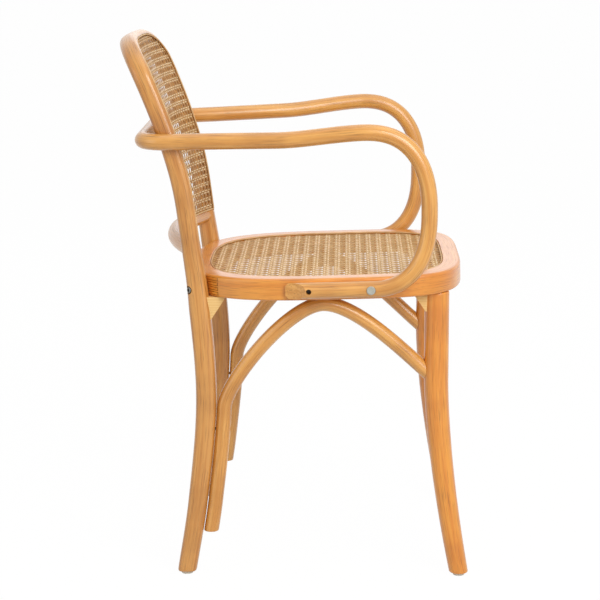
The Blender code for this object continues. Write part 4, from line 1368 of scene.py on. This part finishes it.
@dataclass
class FrontLegs:
    """Turned and bent front legs."""

    finishes: Finishes
    x: float = 0.2142
    half_spacing: float = 0.172
    foot_forward: float = 0.0372
    foot_splay: float = 0.032
    bend_height: float = 0.30
    bend_power: float = 1.6
    splay_power: float = 1.3
    radius_keys: tuple[tuple[float, float], ...] = ((0.0, 0.014), (0.20, 0.017), (0.30, 0.01825))
    end_rounding: float = 0.002

    @property
    def height(self) -> float:
        """Height of the leg's shoulder under the seat."""
        return SEAT.bottom(self.x) - GAP
    stations: int = 301

    def line(self, z: np.ndarray, side: Side) -> np.ndarray:
        """Centre line of a leg at the heights asked for."""
        below = np.maximum(0.0, (self.bend_height - z) / self.bend_height)
        ahead = self.foot_forward * below**self.bend_power
        out = self.half_spacing + self.foot_splay * ((self.height - z) / self.height) ** self.splay_power
        return np.stack([self.x + ahead, side.value * out, z], axis=-1)

    def former(self, side: Side, grow: float = 0.0) -> Former:
        """Line of a leg from its foot up, let out by grow."""
        line = even_steps(self.line(np.linspace(SOLE, self.height, 400), side), self.stations)
        thick = straight_between(self.radius_keys, line[:, 2]) + grow
        return Former(line, thick, thick, first=UP, last=SEAT.square)

    def bar(self, name: str, side: Side, grow: float = 0.0) -> bpy.types.Object:
        """A leg before its ends are rounded, or the room that its neighbours leave it."""
        return self.former(side, grow).bend_bar(name, sides=36, rings=(90,))

    def build(self) -> None:
        """Turn and dress both legs."""
        for side in Side:
            leg = self.bar("turned_front_leg_" + side.word, side)
            round_edges(leg, self.end_rounding)
            self.former(side).lay_grain(leg, 5 if side is Side.LEFT else 6)
            # Each front leg takes the lighter copy of the beech, which is painted light
            finish_piece(leg, self.finishes.painted_light_wood, ["front_leg_" + side.word])


@dataclass
class ArmHoop:
    """One rod from seat side to seat side, over both arms and round behind the back."""

    finishes: Finishes
    radius: float = 0.012
    end_x: float = -0.0094
    end_radius: float = 0.0075
    end_rounding: float = 0.004
    low_run_x: float = 0.1137
    front_x: float = 0.1992
    front_height: float = 0.552
    front_y: float = 0.235
    top_x: float = 0.1067
    top_height: float = 0.67
    rear_height: float = 0.65
    rear_bend: float = 0.0355
    rear_clearance: float = 0.011
    seating: float = 0.0075
    bend_power: float = 2.4
    dip_share: float = 0.45
    dip_reach: float = 0.45
    cap_hole_radius: float = 0.0069
    pared_length: float = 0.030
    pared_thickness: float = 0.004
    scoop_radius: float = 0.060
    scoop_reach: float = 0.050
    stations: int = 1201

    def half_line(self) -> np.ndarray:
        """Left half of the rod, from its end on the seat to behind the back."""
        low_y = SEAT.half_width + self.seating

        def low_z(x: np.ndarray | float) -> np.ndarray:
            """Height half way up the seat's side."""
            return SEAT.top(np.asarray(x)) - SEAT.thickness / 2

        run = np.linspace(self.end_x, self.low_run_x, 60)[:-1]
        low = np.stack([run, np.full_like(run, low_y), low_z(run)], axis=-1)
        turn = np.linspace(0.0, math.pi / 2, 121)
        c, s = squared_circle(math.pi / 2 - turn, self.bend_power)
        start_z = float(low_z(self.low_run_x))
        lower = np.stack(
            [
                self.low_run_x + (self.front_x - self.low_run_x) * c,
                low_y + (self.front_y - low_y) * c,
                self.front_height - (self.front_height - start_z) * s,
            ],
            axis=-1,
        )[:-1]
        c, s = squared_circle(turn, self.bend_power)
        upper = np.stack(
            [
                self.top_x + (self.front_x - self.top_x) * c,
                np.full_like(c, self.front_y),
                self.front_height + (self.top_height - self.front_height) * s,
            ],
            axis=-1,
        )[:-1]
        rear_x = float(BACK.rear(self.rear_height)) - self.radius - self.rear_clearance
        bend_x = rear_x + self.rear_bend
        side_y = BACK.half_spacing + float(BACK.half_width(self.rear_height)) + GAP + self.radius
        share = np.linspace(0.0, 1.0, 121)[:-1]
        ease = (1 - np.cos(math.pi * share)) / 4 + share / 2
        dip = np.minimum(share / self.dip_reach, 1.0)
        fall = self.dip_share * (3 * dip**2 - 2 * dip**3) + (1 - self.dip_share) * share
        rest = np.stack(
            [
                self.top_x + (bend_x - self.top_x) * share,
                self.front_y + (side_y - self.front_y) * ease,
                self.top_height + (self.rear_height - self.top_height) * fall,
            ],
            axis=-1,
        )
        corner = np.stack(
            [
                bend_x - self.rear_bend * np.sin(turn),
                side_y - self.rear_bend * (1 - np.cos(turn)),
                np.full_like(turn, self.rear_height),
            ],
            axis=-1,
        )
        return np.concatenate([low, lower, upper, rest, corner])

    def former(self) -> Former:
        """Line of the whole rod, its ends drawn in."""
        left = self.half_line()
        line = even_steps(np.concatenate([left, mirrored(left)[::-1]]), self.stations)
        run = run_along(line)
        from_end = np.minimum(run, run[-1] - run)
        share = np.clip(1 - from_end / self.end_rounding, 0.0, 1.0)
        thick = self.end_radius + (self.radius - self.end_radius) * np.sqrt(1 - share**2)
        return Former(line, thick, thick)

    def seat_room(self, name: str) -> bpy.types.Object:
        """Prism of the seat's outline, which flattens the rod against the seat."""
        deselect_all()
        bpy.ops.mesh.primitive_cylinder_add(vertices=SEAT.rings, radius=1.0, depth=1.0)
        prism = added(name)
        place = points_of(prism)
        angle = SEAT.ring_angles(share_round(place))
        level = np.where(place[:, 2] > 0, 2 * SEAT.thickness, -3 * SEAT.thickness)
        move_points(prism, SEAT.tilt(np.column_stack([SEAT.ring(angle, -GAP), level])))
        face_outwards(prism)
        return prism

    def pare_end(self, rod: bpy.types.Object, side: Side) -> None:
        """Scoop one end of the rod down towards the seat's side.

        Args:
            rod: the bent rod.
            side: the side whose end is pared.
        """
        thin = Vector((self.end_x, SEAT.half_width + self.pared_thickness, 0.0))
        full = Vector((self.end_x + self.pared_length, SEAT.half_width + self.seating + self.radius, 0.0))
        chord = full - thin
        outward = Vector((-chord.y, chord.x, 0.0)).normalized()
        middle = (thin + full) / 2 + outward * math.sqrt(self.scoop_radius**2 - chord.length_squared / 4)
        middle.y *= side.value
        middle.z = SEAT.top(self.end_x) - SEAT.thickness / 2
        reach = UP * self.scoop_reach
        drill(rod, middle - reach, middle + reach, self.scoop_radius, 160)

    def build(self) -> None:
        """Bend, cut and dress the rod."""
        rod = self.former().bend_bar("bent_arm_hoop", sides=28, rings=(100, 4))
        room = self.seat_room("arm_seating")
        cut_with(rod, room)
        discard(room)
        for side in Side:
            self.pare_end(rod, side)
            outward = Vector((0.0, side.value, 0.0))
            _, deep, middle = side.outer_and_inner("arm_screw_cap_" + side.word)
            start = Vector((middle.x, deep - side.value * GAP, middle.z))
            drill(rod, start, start + outward * DRILL_REACH, self.cap_hole_radius)
            face, _, middle = side.outer_and_inner("arm_screw_rear_" + side.word)
            start = Vector((middle.x, face - side.value * (SCREW_HEAD_DEPTH + GAP), middle.z))
            drill(rod, start, start + outward * DRILL_REACH, SCREW_HOLE_RADIUS)
        self.former().lay_grain(rod, 7)
        finish_piece(rod, self.finishes.wood, ["arm_hoop"])


@dataclass
class SideBraces:
    """Arched braces from the front legs up under the seat and down the rear legs."""

    finishes: Finishes
    legs: FrontLegs
    radius: float = 0.011
    peak_x: float = 0.0467
    peak_inset: float = 0.0315
    front_height: float = 0.311
    front_angle: float = math.radians(42)
    front_handle: float = 0.05
    peak_front_handle: float = 0.045
    peak_rear_handle: float = 0.05
    run_top: float = 0.25
    run_handle: float = 0.04
    run_end: float = 0.065
    run_gap: float = 0.0008
    end_rounding: float = 0.002
    stations: int = 501

    def run_point(self, z: float) -> Vector:
        """Centre of the left brace where it runs down the rear leg."""
        return Vector((float(BACK.front(z)) + self.run_gap + self.radius, float(BACK.y(z)), z))

    def former(self, side: Side) -> Former:
        """Line of a brace from the front leg to its lower end."""
        peak_z = SEAT.bottom(self.peak_x) - GAP - self.radius
        peak = Vector((self.peak_x, SEAT.half_width - self.peak_inset, peak_z))
        leg = self.legs.line(np.array([self.front_height]), Side.LEFT)[0]
        front = Vector(leg) - FORWARD * self.legs.radius_keys[-1][1]
        way = Vector((math.cos(self.front_angle), 0.0, -math.sin(self.front_angle)))
        top = self.run_point(self.run_top)
        run_way = (top - self.run_point(self.run_top - self.run_gap)).normalized()
        steps = 160
        line = [front + way * self.radius]
        ahead = peak + FORWARD * self.peak_front_handle
        behind = peak - FORWARD * self.peak_rear_handle
        line += cubic(front, front - way * self.front_handle, ahead, peak, steps)
        line += cubic(peak, behind, top + run_way * self.run_handle, top, steps)
        line += [self.run_point(z) for z in np.linspace(self.run_top, self.run_end, 100)]
        route = even_steps(np.array([(p.x, p.y * side.value, p.z) for p in line]), self.stations)
        thick = np.full(len(route), self.radius)
        return Former(route, thick, thick, last=-UP)

    def build(self) -> None:
        """Bend, cope and dress both braces."""
        for side in Side:
            former = self.former(side)
            brace = former.bend_bar("bent_side_brace_" + side.word, sides=26, rings=(50, 4))
            round_edges(brace, self.end_rounding)
            room = self.legs.bar("leg_room", side, GAP)
            cut_with(brace, room)
            discard(room)
            _, high, middle = cad_box("brace_rear_screw_" + side.word)
            start = Vector((high.x - SCREW_HEAD_DEPTH, middle.y, middle.z))
            drill(brace, start, start + FORWARD * DRILL_REACH, SCREW_HOLE_RADIUS)
            former.lay_grain(brace, 8 if side is Side.LEFT else 9)
            finish_piece(brace, self.finishes.wood, ["side_brace_" + side.word])


class StrandRun(Enum):
    """Way that a strand of the weave runs."""

    ACROSS = "across"
    LENGTHWISE = "lengthwise"
    RISING = "rising"
    FALLING = "falling"


STRAIGHT_RUNS = (StrandRun.ACROSS, StrandRun.LENGTHWISE)
DIAGONAL_RUNS = (StrandRun.RISING, StrandRun.FALLING)


@dataclass(frozen=True)
class WeaveSizes:
    """Sizes of a weave, in metres."""

    pitch: float
    pair_gap: float
    strand_width: float
    diagonal_width: float
    thickness: float


@dataclass
class CaneWeave:
    """Six-way cane: doubled strands both ways, and single strands on both diagonals between the crossings.

    The weave is laid out on a flat sheet in (u, v) and then carried to its surface.
    """

    sizes: WeaveSizes
    holds: Callable[[np.ndarray, np.ndarray], np.ndarray]
    carry: Callable[[np.ndarray, np.ndarray, np.ndarray], np.ndarray]
    low: tuple[float, float]
    high: tuple[float, float]
    longest: float = 0.75
    step: float = 0.0004
    fewest_steps: int = 12
    straight_lengths: int = 6
    diagonal_lengths: int = 7
    batch: int = 8
    most_lengths: int = 100
    edge_share: float = 0.3
    masters: dict[int, bpy.types.Object] = field(default_factory=dict)
    laid: int = 0

    def master(self, lengths: int) -> bpy.types.Object:
        """One straight strand of unit size with its upper edges taken off, cut into lengths."""
        if lengths not in self.masters:
            strand = unit_block("strand_master")
            ends = edge_ends(strand)
            along = np.abs(ends[:, 0, 0] - ends[:, 1, 0]) > 0.5
            edit_edges(strand, along & (ends[:, 0, 2] > 0))
            bpy.ops.mesh.bevel(offset=self.edge_share, segments=1, affect="EDGES")
            bpy.ops.object.mode_set(mode="OBJECT")
            cut_along(strand, Axis.X, (lengths,))
            self.masters[lengths] = strand
        return self.masters[lengths]

    def height(self, run: StrandRun, u: np.ndarray, v: np.ndarray, upper: bool) -> np.ndarray:
        """Height of a strand's middle over the sheet.

        Args:
            run: the way that the strand runs.
            u, v: places along the strand.
            upper: which strand of a pair it is.

        Returns:
            The heights.
        """
        sign = 1.0 if upper else -1.0
        if run in DIAGONAL_RUNS:
            wave = np.cos(2 * math.pi * v / self.sizes.pitch) * self.sizes.thickness
            return wave if run is StrandRun.RISING else -wave
        line = u if run is StrandRun.ACROSS else v
        near = line - self.sizes.pitch * np.rint(line / self.sizes.pitch)
        reach = self.sizes.pair_gap
        wave = np.where(np.abs(near) < reach, np.sin(math.pi * near / reach), 0.0)
        way = sign if run is StrandRun.ACROSS else -sign
        return wave * way * self.sizes.thickness / 2

    def lines(self, run: StrandRun) -> list[tuple[np.ndarray, np.ndarray, bool]]:
        """Starts and directions of all strands that run one way, and which of its pair each one is."""
        (u0, v0), (u1, v1) = self.low, self.high
        p, half = self.sizes.pitch, self.sizes.pair_gap / 2
        found = []
        if run in STRAIGHT_RUNS:
            across = run is StrandRun.ACROSS
            first, last = (v0, v1) if across else (u0, u1)
            way = np.array([1.0, 0.0] if across else [0.0, 1.0])
            for k in range(math.floor(first / p), math.ceil(last / p) + 1):
                for upper in (True, False):
                    off = k * p + (half if upper else -half)
                    found.append((np.array([u0, off] if across else [off, v0]), way, upper))
        else:
            rise = 1.0 if run is StrandRun.RISING else -1.0
            way = np.array([rise, 1.0]) / math.sqrt(2)
            first = math.floor((u0 - max(rise * v0, rise * v1)) / p) - 1
            last = math.ceil((u1 - min(rise * v0, rise * v1)) / p) + 1
            for k in range(first, last):
                found.append((np.array([(k + 0.5) * p + rise * v0, v0]), way, True))
        return found

    def lay_strand(self, name: str, run: StrandRun, start: np.ndarray, way: np.ndarray, upper: bool) -> list:
        """Lay one strand over the sheet, cut off at the sheet's edge.

        Args:
            name: name of the strand.
            run: the way that it runs.
            start: a point on its line.
            way: the direction of its line.
            upper: which strand of a pair it is.

        Returns:
            The strand in a list, or an empty list where the line misses the sheet.
        """
        steps = np.arange(0.0, self.longest, self.step)
        line = start + steps[:, None] * way
        inside = np.flatnonzero(self.holds(line[:, 0], line[:, 1]))
        if len(inside) < self.fewest_steps:
            return []
        begin, end = steps[inside[0]], steps[inside[-1]]
        straight_run = run in STRAIGHT_RUNS
        per_pitch = self.straight_lengths if straight_run else self.diagonal_lengths
        batches = round((end - begin) / self.sizes.pitch * per_pitch / self.batch)
        master = self.master(min(max(self.batch, self.batch * batches), self.most_lengths))
        strand = master.copy()
        strand.data = master.data.copy()
        strand.name = name
        bpy.context.scene.collection.objects.link(strand)
        place = points_of(strand)
        along = begin + (place[:, 0] + 0.5) * (end - begin)
        aside = place[:, 1] * (self.sizes.strand_width if straight_run else self.sizes.diagonal_width)
        middle = start + along[:, None] * way
        cross = np.array([-way[1], way[0]])
        spread = middle + aside[:, None] * cross
        lift = self.height(run, middle[:, 0], middle[:, 1], upper) + place[:, 2] * self.sizes.thickness
        move_points(strand, self.carry(spread[:, 0], spread[:, 1], lift))
        self.laid += 1
        straight = np.column_stack([aside, place[:, 2] * self.sizes.thickness, along])
        write_grain(strand, straight, self.laid)
        return [strand]

    def build(self, name: str, runs: Sequence[StrandRun]) -> bpy.types.Object:
        """Weave all strands that run the ways asked for, as one piece.

        Args:
            name: the piece's name.
            runs: the ways.

        Returns:
            The piece.
        """
        strands = []
        for run in runs:
            for start, way, upper in self.lines(run):
                strands += self.lay_strand(name, run, start, way, upper)
        deselect_all()
        for strand in strands:
            strand.select_set(True)
        bpy.context.view_layer.objects.active = strands[0]
        bpy.ops.object.join()
        piece = added(name)
        face_outwards(piece)
        return piece

    def put_away(self) -> None:
        """Remove the master strands."""
        discard(*self.masters.values())
        self.masters.clear()


@dataclass
class CanePanels:
    """Woven cane of the back and the seat, each with the reed that wedges it in."""

    finishes: Finishes
    panel: BackPanelShape
    seat_sizes: WeaveSizes = WeaveSizes(
        pitch=0.0165, pair_gap=0.0044, strand_width=0.0023, diagonal_width=0.0027, thickness=0.0008
    )
    back_sizes: WeaveSizes = WeaveSizes(
        pitch=0.0125, pair_gap=0.0034, strand_width=0.0018, diagonal_width=0.0021, thickness=0.0005
    )
    sheet_margin: float = 0.01
    stations: int = 641

    def seat_weave(self) -> CaneWeave:
        """Weave of the seat, on the level seat's x and y."""
        level = -SEAT.ledge_depth + GAP + CANE_THICKNESS / 2
        edge = SEAT.rim + 2 * GAP

        def holds(u: np.ndarray, v: np.ndarray) -> np.ndarray:
            """Whether points lie on the seat's ledge or in its opening."""
            return SEAT.holds(v, u, edge)

        def carry(u: np.ndarray, v: np.ndarray, lift: np.ndarray) -> np.ndarray:
            """Points of the sheet on the tilted seat."""
            return SEAT.tilt(np.column_stack([v, u, level + lift]))

        reach = SEAT.half_width
        low = (-reach, SEAT.middle_x - SEAT.rear_reach)
        return CaneWeave(self.seat_sizes, holds, carry, low, (reach, SEAT.middle_x + SEAT.front_reach))

    def back_weave(self) -> CaneWeave:
        """Weave of the back, on y and the length up the panel."""
        z = np.linspace(RAIL_HEIGHT - self.sheet_margin, BACK.height, 600)
        middle = self.panel.surface(np.zeros_like(z), z, 0.0)
        run = run_along(middle)
        top = BACK.spring + BACK.bend_rise + self.panel.over

        def holds(u: np.ndarray, v: np.ndarray) -> np.ndarray:
            """Whether points lie inside the panel's edge."""
            height = np.interp(v, run, z)
            within = (height > self.panel.bottom + GAP) & (height < top - GAP)
            return within & (np.abs(u) < self.panel.half(np.minimum(height, top), -GAP))

        def carry(u: np.ndarray, v: np.ndarray, lift: np.ndarray) -> np.ndarray:
            """Points of the sheet on the bowed panel."""
            return self.panel.surface(u, np.interp(v, run, z), lift)

        reach = BACK.half_spacing + self.panel.over
        return CaneWeave(self.back_sizes, holds, carry, (-reach, 0.0), (reach, float(run[-1])))

    def reed(self, name: str, line: np.ndarray, node: str, plank: int) -> None:
        """Bend and dress the reed along a panel's edge.

        Args:
            name: the reed's name.
            line: closed line that it follows.
            node: CAD node that it stands for.
            plank: number that sets off its grain.
        """
        route = even_steps(line, self.stations)
        thick = np.full(len(route), SPLINE_RADIUS)
        former = Former(route, thick, thick, closed=True)
        reed = former.bend_ring(name, sides=10, rings=320)
        former.lay_grain(reed, plank)
        finish_piece(reed, self.finishes.reed, [node])

    def build(self) -> None:
        """Weave and dress both panels and their reeds."""
        others = {"_cane_lengthwise": (StrandRun.LENGTHWISE,), "_cane_diagonals": DIAGONAL_RUNS}
        # The back's lengthwise and diagonal strands take the copy of the rind that is painted darker as
        # shade
        kinds = {"seat": self.finishes.cane, "back": self.finishes.brown_cane}
        for place, weave in (("seat", self.seat_weave()), ("back", self.back_weave())):
            across = weave.build(place + "_cane_across", (StrandRun.ACROSS,))
            finish_piece(across, self.finishes.pale_cane, [place + "_cane"])
            for word, runs in others.items():
                finish_piece(weave.build(place + word, runs), kinds[place], [])
            weave.put_away()
        stand = CANE_THICKNESS / 2 + GAP + SPLINE_RADIUS
        self.reed("back_reed", self.panel.edge_line(SPLINE_RADIUS, stand), "back_cane_spline", 11)
        level = -SEAT.ledge_depth + 2 * GAP + CANE_THICKNESS + SPLINE_RADIUS
        line = SEAT.closed_line(800, SEAT.rim + 2 * GAP + SPLINE_RADIUS, level)
        self.reed("seat_reed", line, "seat_cane_spline", 12)


class Drive(Enum):
    """Recess in the face of a fastener's head."""

    CROSS = "cross"
    HEX = "hex"


@dataclass(frozen=True)
class Fastener:
    """Turned head with a recess, on a plain shank with a chamfered tip."""

    head_radius: float
    head_height: float
    shank_radius: float
    drive: Drive
    recess_reach: float
    recess_depth: float
    bar_share: float = 0.4
    head_rounding: float = 0.3
    tip_rounding: float = 0.4

    def recess(self, face: Vector, way: Vector) -> list[bpy.types.Object]:
        """Cutters of the recess.

        Args:
            face: middle of the head's face.
            way: unit vector from the face into the head.

        Returns:
            One six-sided cutter, or two bars that cross.
        """
        if self.drive is Drive.HEX:
            deep = face + way * self.recess_depth
            return [straight_pin("hex_cutter", face - way * self.recess_depth, deep, self.recess_reach, 6)]
        bars = []
        for quarter in range(2):
            deselect_all()
            turn = way.to_track_quat("Z", "Y") @ Quaternion(UP, math.radians(45 + 90 * quarter))
            size = (2 * self.recess_reach, self.bar_share * self.recess_reach, 2 * self.recess_depth)
            bpy.ops.mesh.primitive_cube_add(size=1.0, location=face, rotation=turn.to_euler(), scale=size)
            bars.append(added("cross_cutter"))
            bpy.ops.object.transform_apply(location=True, rotation=True, scale=True)
        return bars

    def build(self, name: str, face: Vector, way: Vector, length: float) -> bpy.types.Object:
        """Turn one fastener.

        Args:
            name: its name.
            face: middle of the head's face.
            way: unit vector from the face to the tip.
            length: whole length.

        Returns:
            The fastener.
        """
        head = straight_pin(name, face, face + way * self.head_height, self.head_radius, 40)
        round_edges(head, self.head_rounding * self.head_height, 4)
        neck = face + way * (self.head_height / 2)
        shank = straight_pin("shank", neck, face + way * length, self.shank_radius, 20)
        round_edges(shank, self.tip_rounding * self.shank_radius, 1)
        cut_with(head, shank, Cut.JOIN)
        discard(shank)
        for cutter in self.recess(face, way):
            cut_with(head, cutter)
            discard(cutter)
        return head


@dataclass
class Fittings:
    """Caps, bolts, screws and glides, and the finishes of the CAD nodes that stay."""

    finishes: Finishes
    bolt: Fastener = Fastener(
        head_radius=0.0048,
        head_height=0.0045,
        shank_radius=0.003,
        drive=Drive.HEX,
        recess_reach=0.0026,
        recess_depth=0.0026,
    )
    screw: Fastener = Fastener(
        head_radius=0.0036,
        head_height=0.0025,
        shank_radius=0.002,
        drive=Drive.CROSS,
        recess_reach=0.0022,
        recess_depth=0.0014,
    )
    washer_rounding: float = 0.0003
    cap_rounding: float = 0.0009
    cap_bowl_radius: float = 0.0034
    cap_bowl_depth: float = 0.0003
    cap_rim_rounding: float = 0.0002
    cap_rim_angle: float = 70.0
    glide_height: float = 0.004
    glide_rounding: float = 0.0013
    nail_radius: float = 0.0012
    nail_sink_radius: float = 0.0032
    nail_sink_depth: float = 0.0012
    nail_head_depth: float = 0.0006

    def dress_cad(self) -> None:
        """Give each CAD node that stays in sight its finish."""
        by_slot = {
            BENTWOOD_SLOT: self.finishes.wood,
            "woven_cane": self.finishes.cane,
            "reed_spline": self.finishes.reed,
            "raw_softwood": self.finishes.raw,
            "blackened_steel": self.finishes.black,
            "zinc_plated_steel": self.finishes.zinc,
            "grey_cap_plastic": self.finishes.cap,
            "nylon_glide": self.finishes.nylon,
        }
        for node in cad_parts.values():
            for holder in node.material_slots:
                kind = holder.material.name.split(".")[0] if holder.material else ""
                if kind in by_slot:
                    holder.material = by_slot[kind]

    def fix_screw(self, node: str, way: Vector) -> None:
        """Turn and dress a wood screw where its CAD node is.

        Args:
            node: the CAD node, whose box gives its place and length.
            way: unit vector along an axis, from its face to its tip.
        """
        low, high, middle = cad_box(node)
        length = abs((high - low).dot(way))
        face = middle - way * (length / 2)
        piece = self.screw.build("turned_" + node, face, way, length)
        finish_piece(piece, self.finishes.black, [node])

    def fix_bolt(self, side: Side) -> None:
        """Turn and dress a rear leg's bolt and the punched washer under its head."""
        node = "rear_leg_washer_" + side.word
        low, high, middle = cad_box(node)
        way = bolt_way(side)
        half = way * (WASHER_THICKNESS / 2)
        washer = straight_pin("punched_" + node, middle - half, middle + half, (high.z - low.z) / 2, 40)
        drill(washer, middle - way * MM, middle + way * MM, self.bolt.shank_radius + GAP)
        round_edges(washer, self.washer_rounding, 2)
        finish_piece(washer, self.finishes.black, [node])
        face = middle - half - way * (self.bolt.head_height + GAP)
        node = "rear_leg_bolt_" + side.word
        bolt = self.bolt.build("turned_" + node, face, way, BOLT_LENGTH)
        finish_piece(bolt, self.finishes.bolt, [node])

    def cap(self, side: Side) -> None:
        """Moulded cap over the arm's front screw, dished inside its rim."""
        node = "arm_screw_cap_" + side.word
        low, high, middle = cad_box(node)
        outer, inner, _ = side.outer_and_inner(node)
        face, deep = (Vector((middle.x, y, middle.z)) for y in (outer, inner))
        piece = straight_pin("moulded_" + node, face, deep, (high.z - low.z) / 2, 48)
        round_edges(piece, self.cap_rounding, 5)
        outward = Vector((0.0, side.value, 0.0))
        drill(piece, face - outward * self.cap_bowl_depth, face + outward * MM, self.cap_bowl_radius)
        round_edges(piece, self.cap_rim_rounding, 2, self.cap_rim_angle)
        finish_piece(piece, self.finishes.cap, [node])

    def glide(self, node: str) -> None:
        """Moulded glide with its nail, the nail's head sunk in the sole."""
        low, high, middle = cad_box(node)
        sole = Vector((middle.x, middle.y, low.z))
        top = sole + UP * self.glide_height
        piece = straight_pin("moulded_" + node, sole, top, (high.x - low.x) / 2, 40)
        round_edges(piece, self.glide_rounding, 4)
        drill(piece, sole - UP * MM, sole + UP * self.nail_sink_depth, self.nail_sink_radius)
        tip = Vector((sole.x, sole.y, high.z))
        nail = straight_pin("nail", sole + UP * self.nail_head_depth, tip, self.nail_radius, 16)
        cut_with(piece, nail, Cut.JOIN)
        discard(nail)
        finish_piece(piece, self.finishes.nylon, [node])

    def build(self) -> None:
        """Turn, mould and dress the fittings."""
        self.dress_cad()
        for side in Side:
            inward = Vector((0.0, -side.value, 0.0))
            self.fix_bolt(side)
            self.fix_screw("arm_screw_rear_" + side.word, inward)
            self.fix_screw("brace_rear_screw_" + side.word, -FORWARD)
            self.cap(side)
            for end in ("front_", "rear_"):
                self.glide("foot_glide_" + end + side.word)


@dataclass
class Studio:
    """Floor, light and camera."""

    camera_place: tuple[float, float, float] = (0.0767, -3.141, 0.9937)
    camera_turn: tuple[float, float, float] = (78.945, 0.0, 1.265)
    lens: float = 122.28
    sensor: float = 36.0
    world_light: float = 0.46
    floor_size: float = 60.0
    floor_glow: float = 1.02
    glow_share: float = 0.96
    aim: tuple[float, float, float] = (0.0, 0.0, 0.42)
    # Name, place, length of a side and power in watts of each lamp
    lamps: tuple[tuple[str, tuple[float, float, float], float, float], ...] = (
        ("soft_key", (1.2, -2.2, 1.7), 1.5, 48.0),
        ("soft_top", (0.2, 0.0, 2.9), 2.6, 17.0),
        ("soft_fill", (-2.4, -1.6, 1.2), 1.8, 10.0),
        ("soft_rear", (0.0, 2.8, 1.62), 1.5, 4.0),
    )

    def seen_directly(self, tree: bpy.types.NodeTree) -> bpy.types.Node:
        """Node that is 1 where the surround is seen, mirrored or seen through, and 0 where it only lights.

        Args:
            tree: node tree of the floor's finish or of the world.

        Returns:
            The node whose first output holds the answer.
        """
        rays = add_node(tree, "ShaderNodeLightPath").outputs
        mirrored_too = {0: rays["Is Camera Ray"], 1: rays["Is Glossy Ray"]}
        glossy = add_node(tree, "ShaderNodeMath", mirrored_too, operation="MAXIMUM")
        clear_too = {0: glossy.outputs[0], 1: rays["Is Transmission Ray"]}
        return add_node(tree, "ShaderNodeMath", clear_too, operation="MAXIMUM")

    def floor(self) -> None:
        """Plain white floor that keeps the chair's shadow."""
        deselect_all()
        bpy.ops.mesh.primitive_plane_add(size=self.floor_size)
        floor = added("studio_floor")
        finish, tree = new_finish("studio_paper_white")
        matt = add_node(tree, "ShaderNodeBsdfDiffuse", {"Color": linear("#CFCFCC")})
        white = {"Color": linear("#FFFFFF"), "Strength": self.floor_glow}
        glow = add_node(tree, "ShaderNodeEmission", white)
        seen = self.seen_directly(tree)
        share = add_node(
            tree, "ShaderNodeMath", {0: seen.outputs[0], 1: self.glow_share}, operation="MULTIPLY"
        )
        mix = add_node(
            tree, "ShaderNodeMixShader", {0: share.outputs[0], 1: matt.outputs[0], 2: glow.outputs[0]}
        )
        add_node(tree, "ShaderNodeOutputMaterial", {"Surface": mix.outputs[0]})
        floor.data.materials.append(finish)

    def world(self) -> None:
        """White surround, softer as light than as it is seen."""
        world = bpy.data.worlds.new("studio_surround")
        bpy.context.scene.world = world
        world.use_nodes = True
        tree = world.node_tree
        tree.nodes.clear()
        seen = self.seen_directly(tree)
        strength = add_node(
            tree, "ShaderNodeMapRange", {"Value": seen.outputs[0], "To Min": self.world_light, "To Max": 1.0}
        )
        white = {"Color": linear("#FFFFFF"), "Strength": strength.outputs[0]}
        glow = add_node(tree, "ShaderNodeBackground", white)
        add_node(tree, "ShaderNodeOutputWorld", {"Surface": glow.outputs[0]})

    def lamp(self, name: str, place: tuple[float, float, float], size: float, power: float) -> None:
        """Square soft light that faces the chair.

        Args:
            name: the lamp's name.
            place: where it hangs.
            size: length of its side.
            power: its power in watts.
        """
        deselect_all()
        way = Vector(self.aim) - Vector(place)
        bpy.ops.object.light_add(
            type="AREA", location=place, rotation=way.to_track_quat("-Z", "Y").to_euler()
        )
        lamp = bpy.context.view_layer.objects.active
        lamp.name = name
        lamp.data.size = size
        lamp.data.energy = power

    def camera(self) -> None:
        """Camera at the photograph's angle."""
        deselect_all()
        bpy.ops.object.camera_add(
            location=self.camera_place, rotation=[math.radians(turn) for turn in self.camera_turn]
        )
        camera = bpy.context.view_layer.objects.active
        camera.data.lens = self.lens
        camera.data.sensor_width = self.sensor
        bpy.context.scene.camera = camera

    def build(self) -> None:
        """Set up the studio."""
        bpy.context.scene.view_settings.view_transform = "Standard"
        self.floor()
        self.world()
        for lamp in self.lamps:
            self.lamp(*lamp)
        self.camera()


def main() -> None:
    """Build the chair and its studio."""
    logging.basicConfig(level=logging.INFO, format="%(name)s: %(message)s")
    finishes = Finishes()
    panel = BackPanelShape()
    hoop = HoopBack(finishes, panel)
    legs = FrontLegs(finishes)
    hoop.build()
    SeatFrame(finishes, hoop).build()
    legs.build()
    ArmHoop(finishes).build()
    SideBraces(finishes, legs).build()
    CanePanels(finishes, panel).build()
    Fittings(finishes).build()
    Studio().build()


if __name__ == "__main__":
    main()
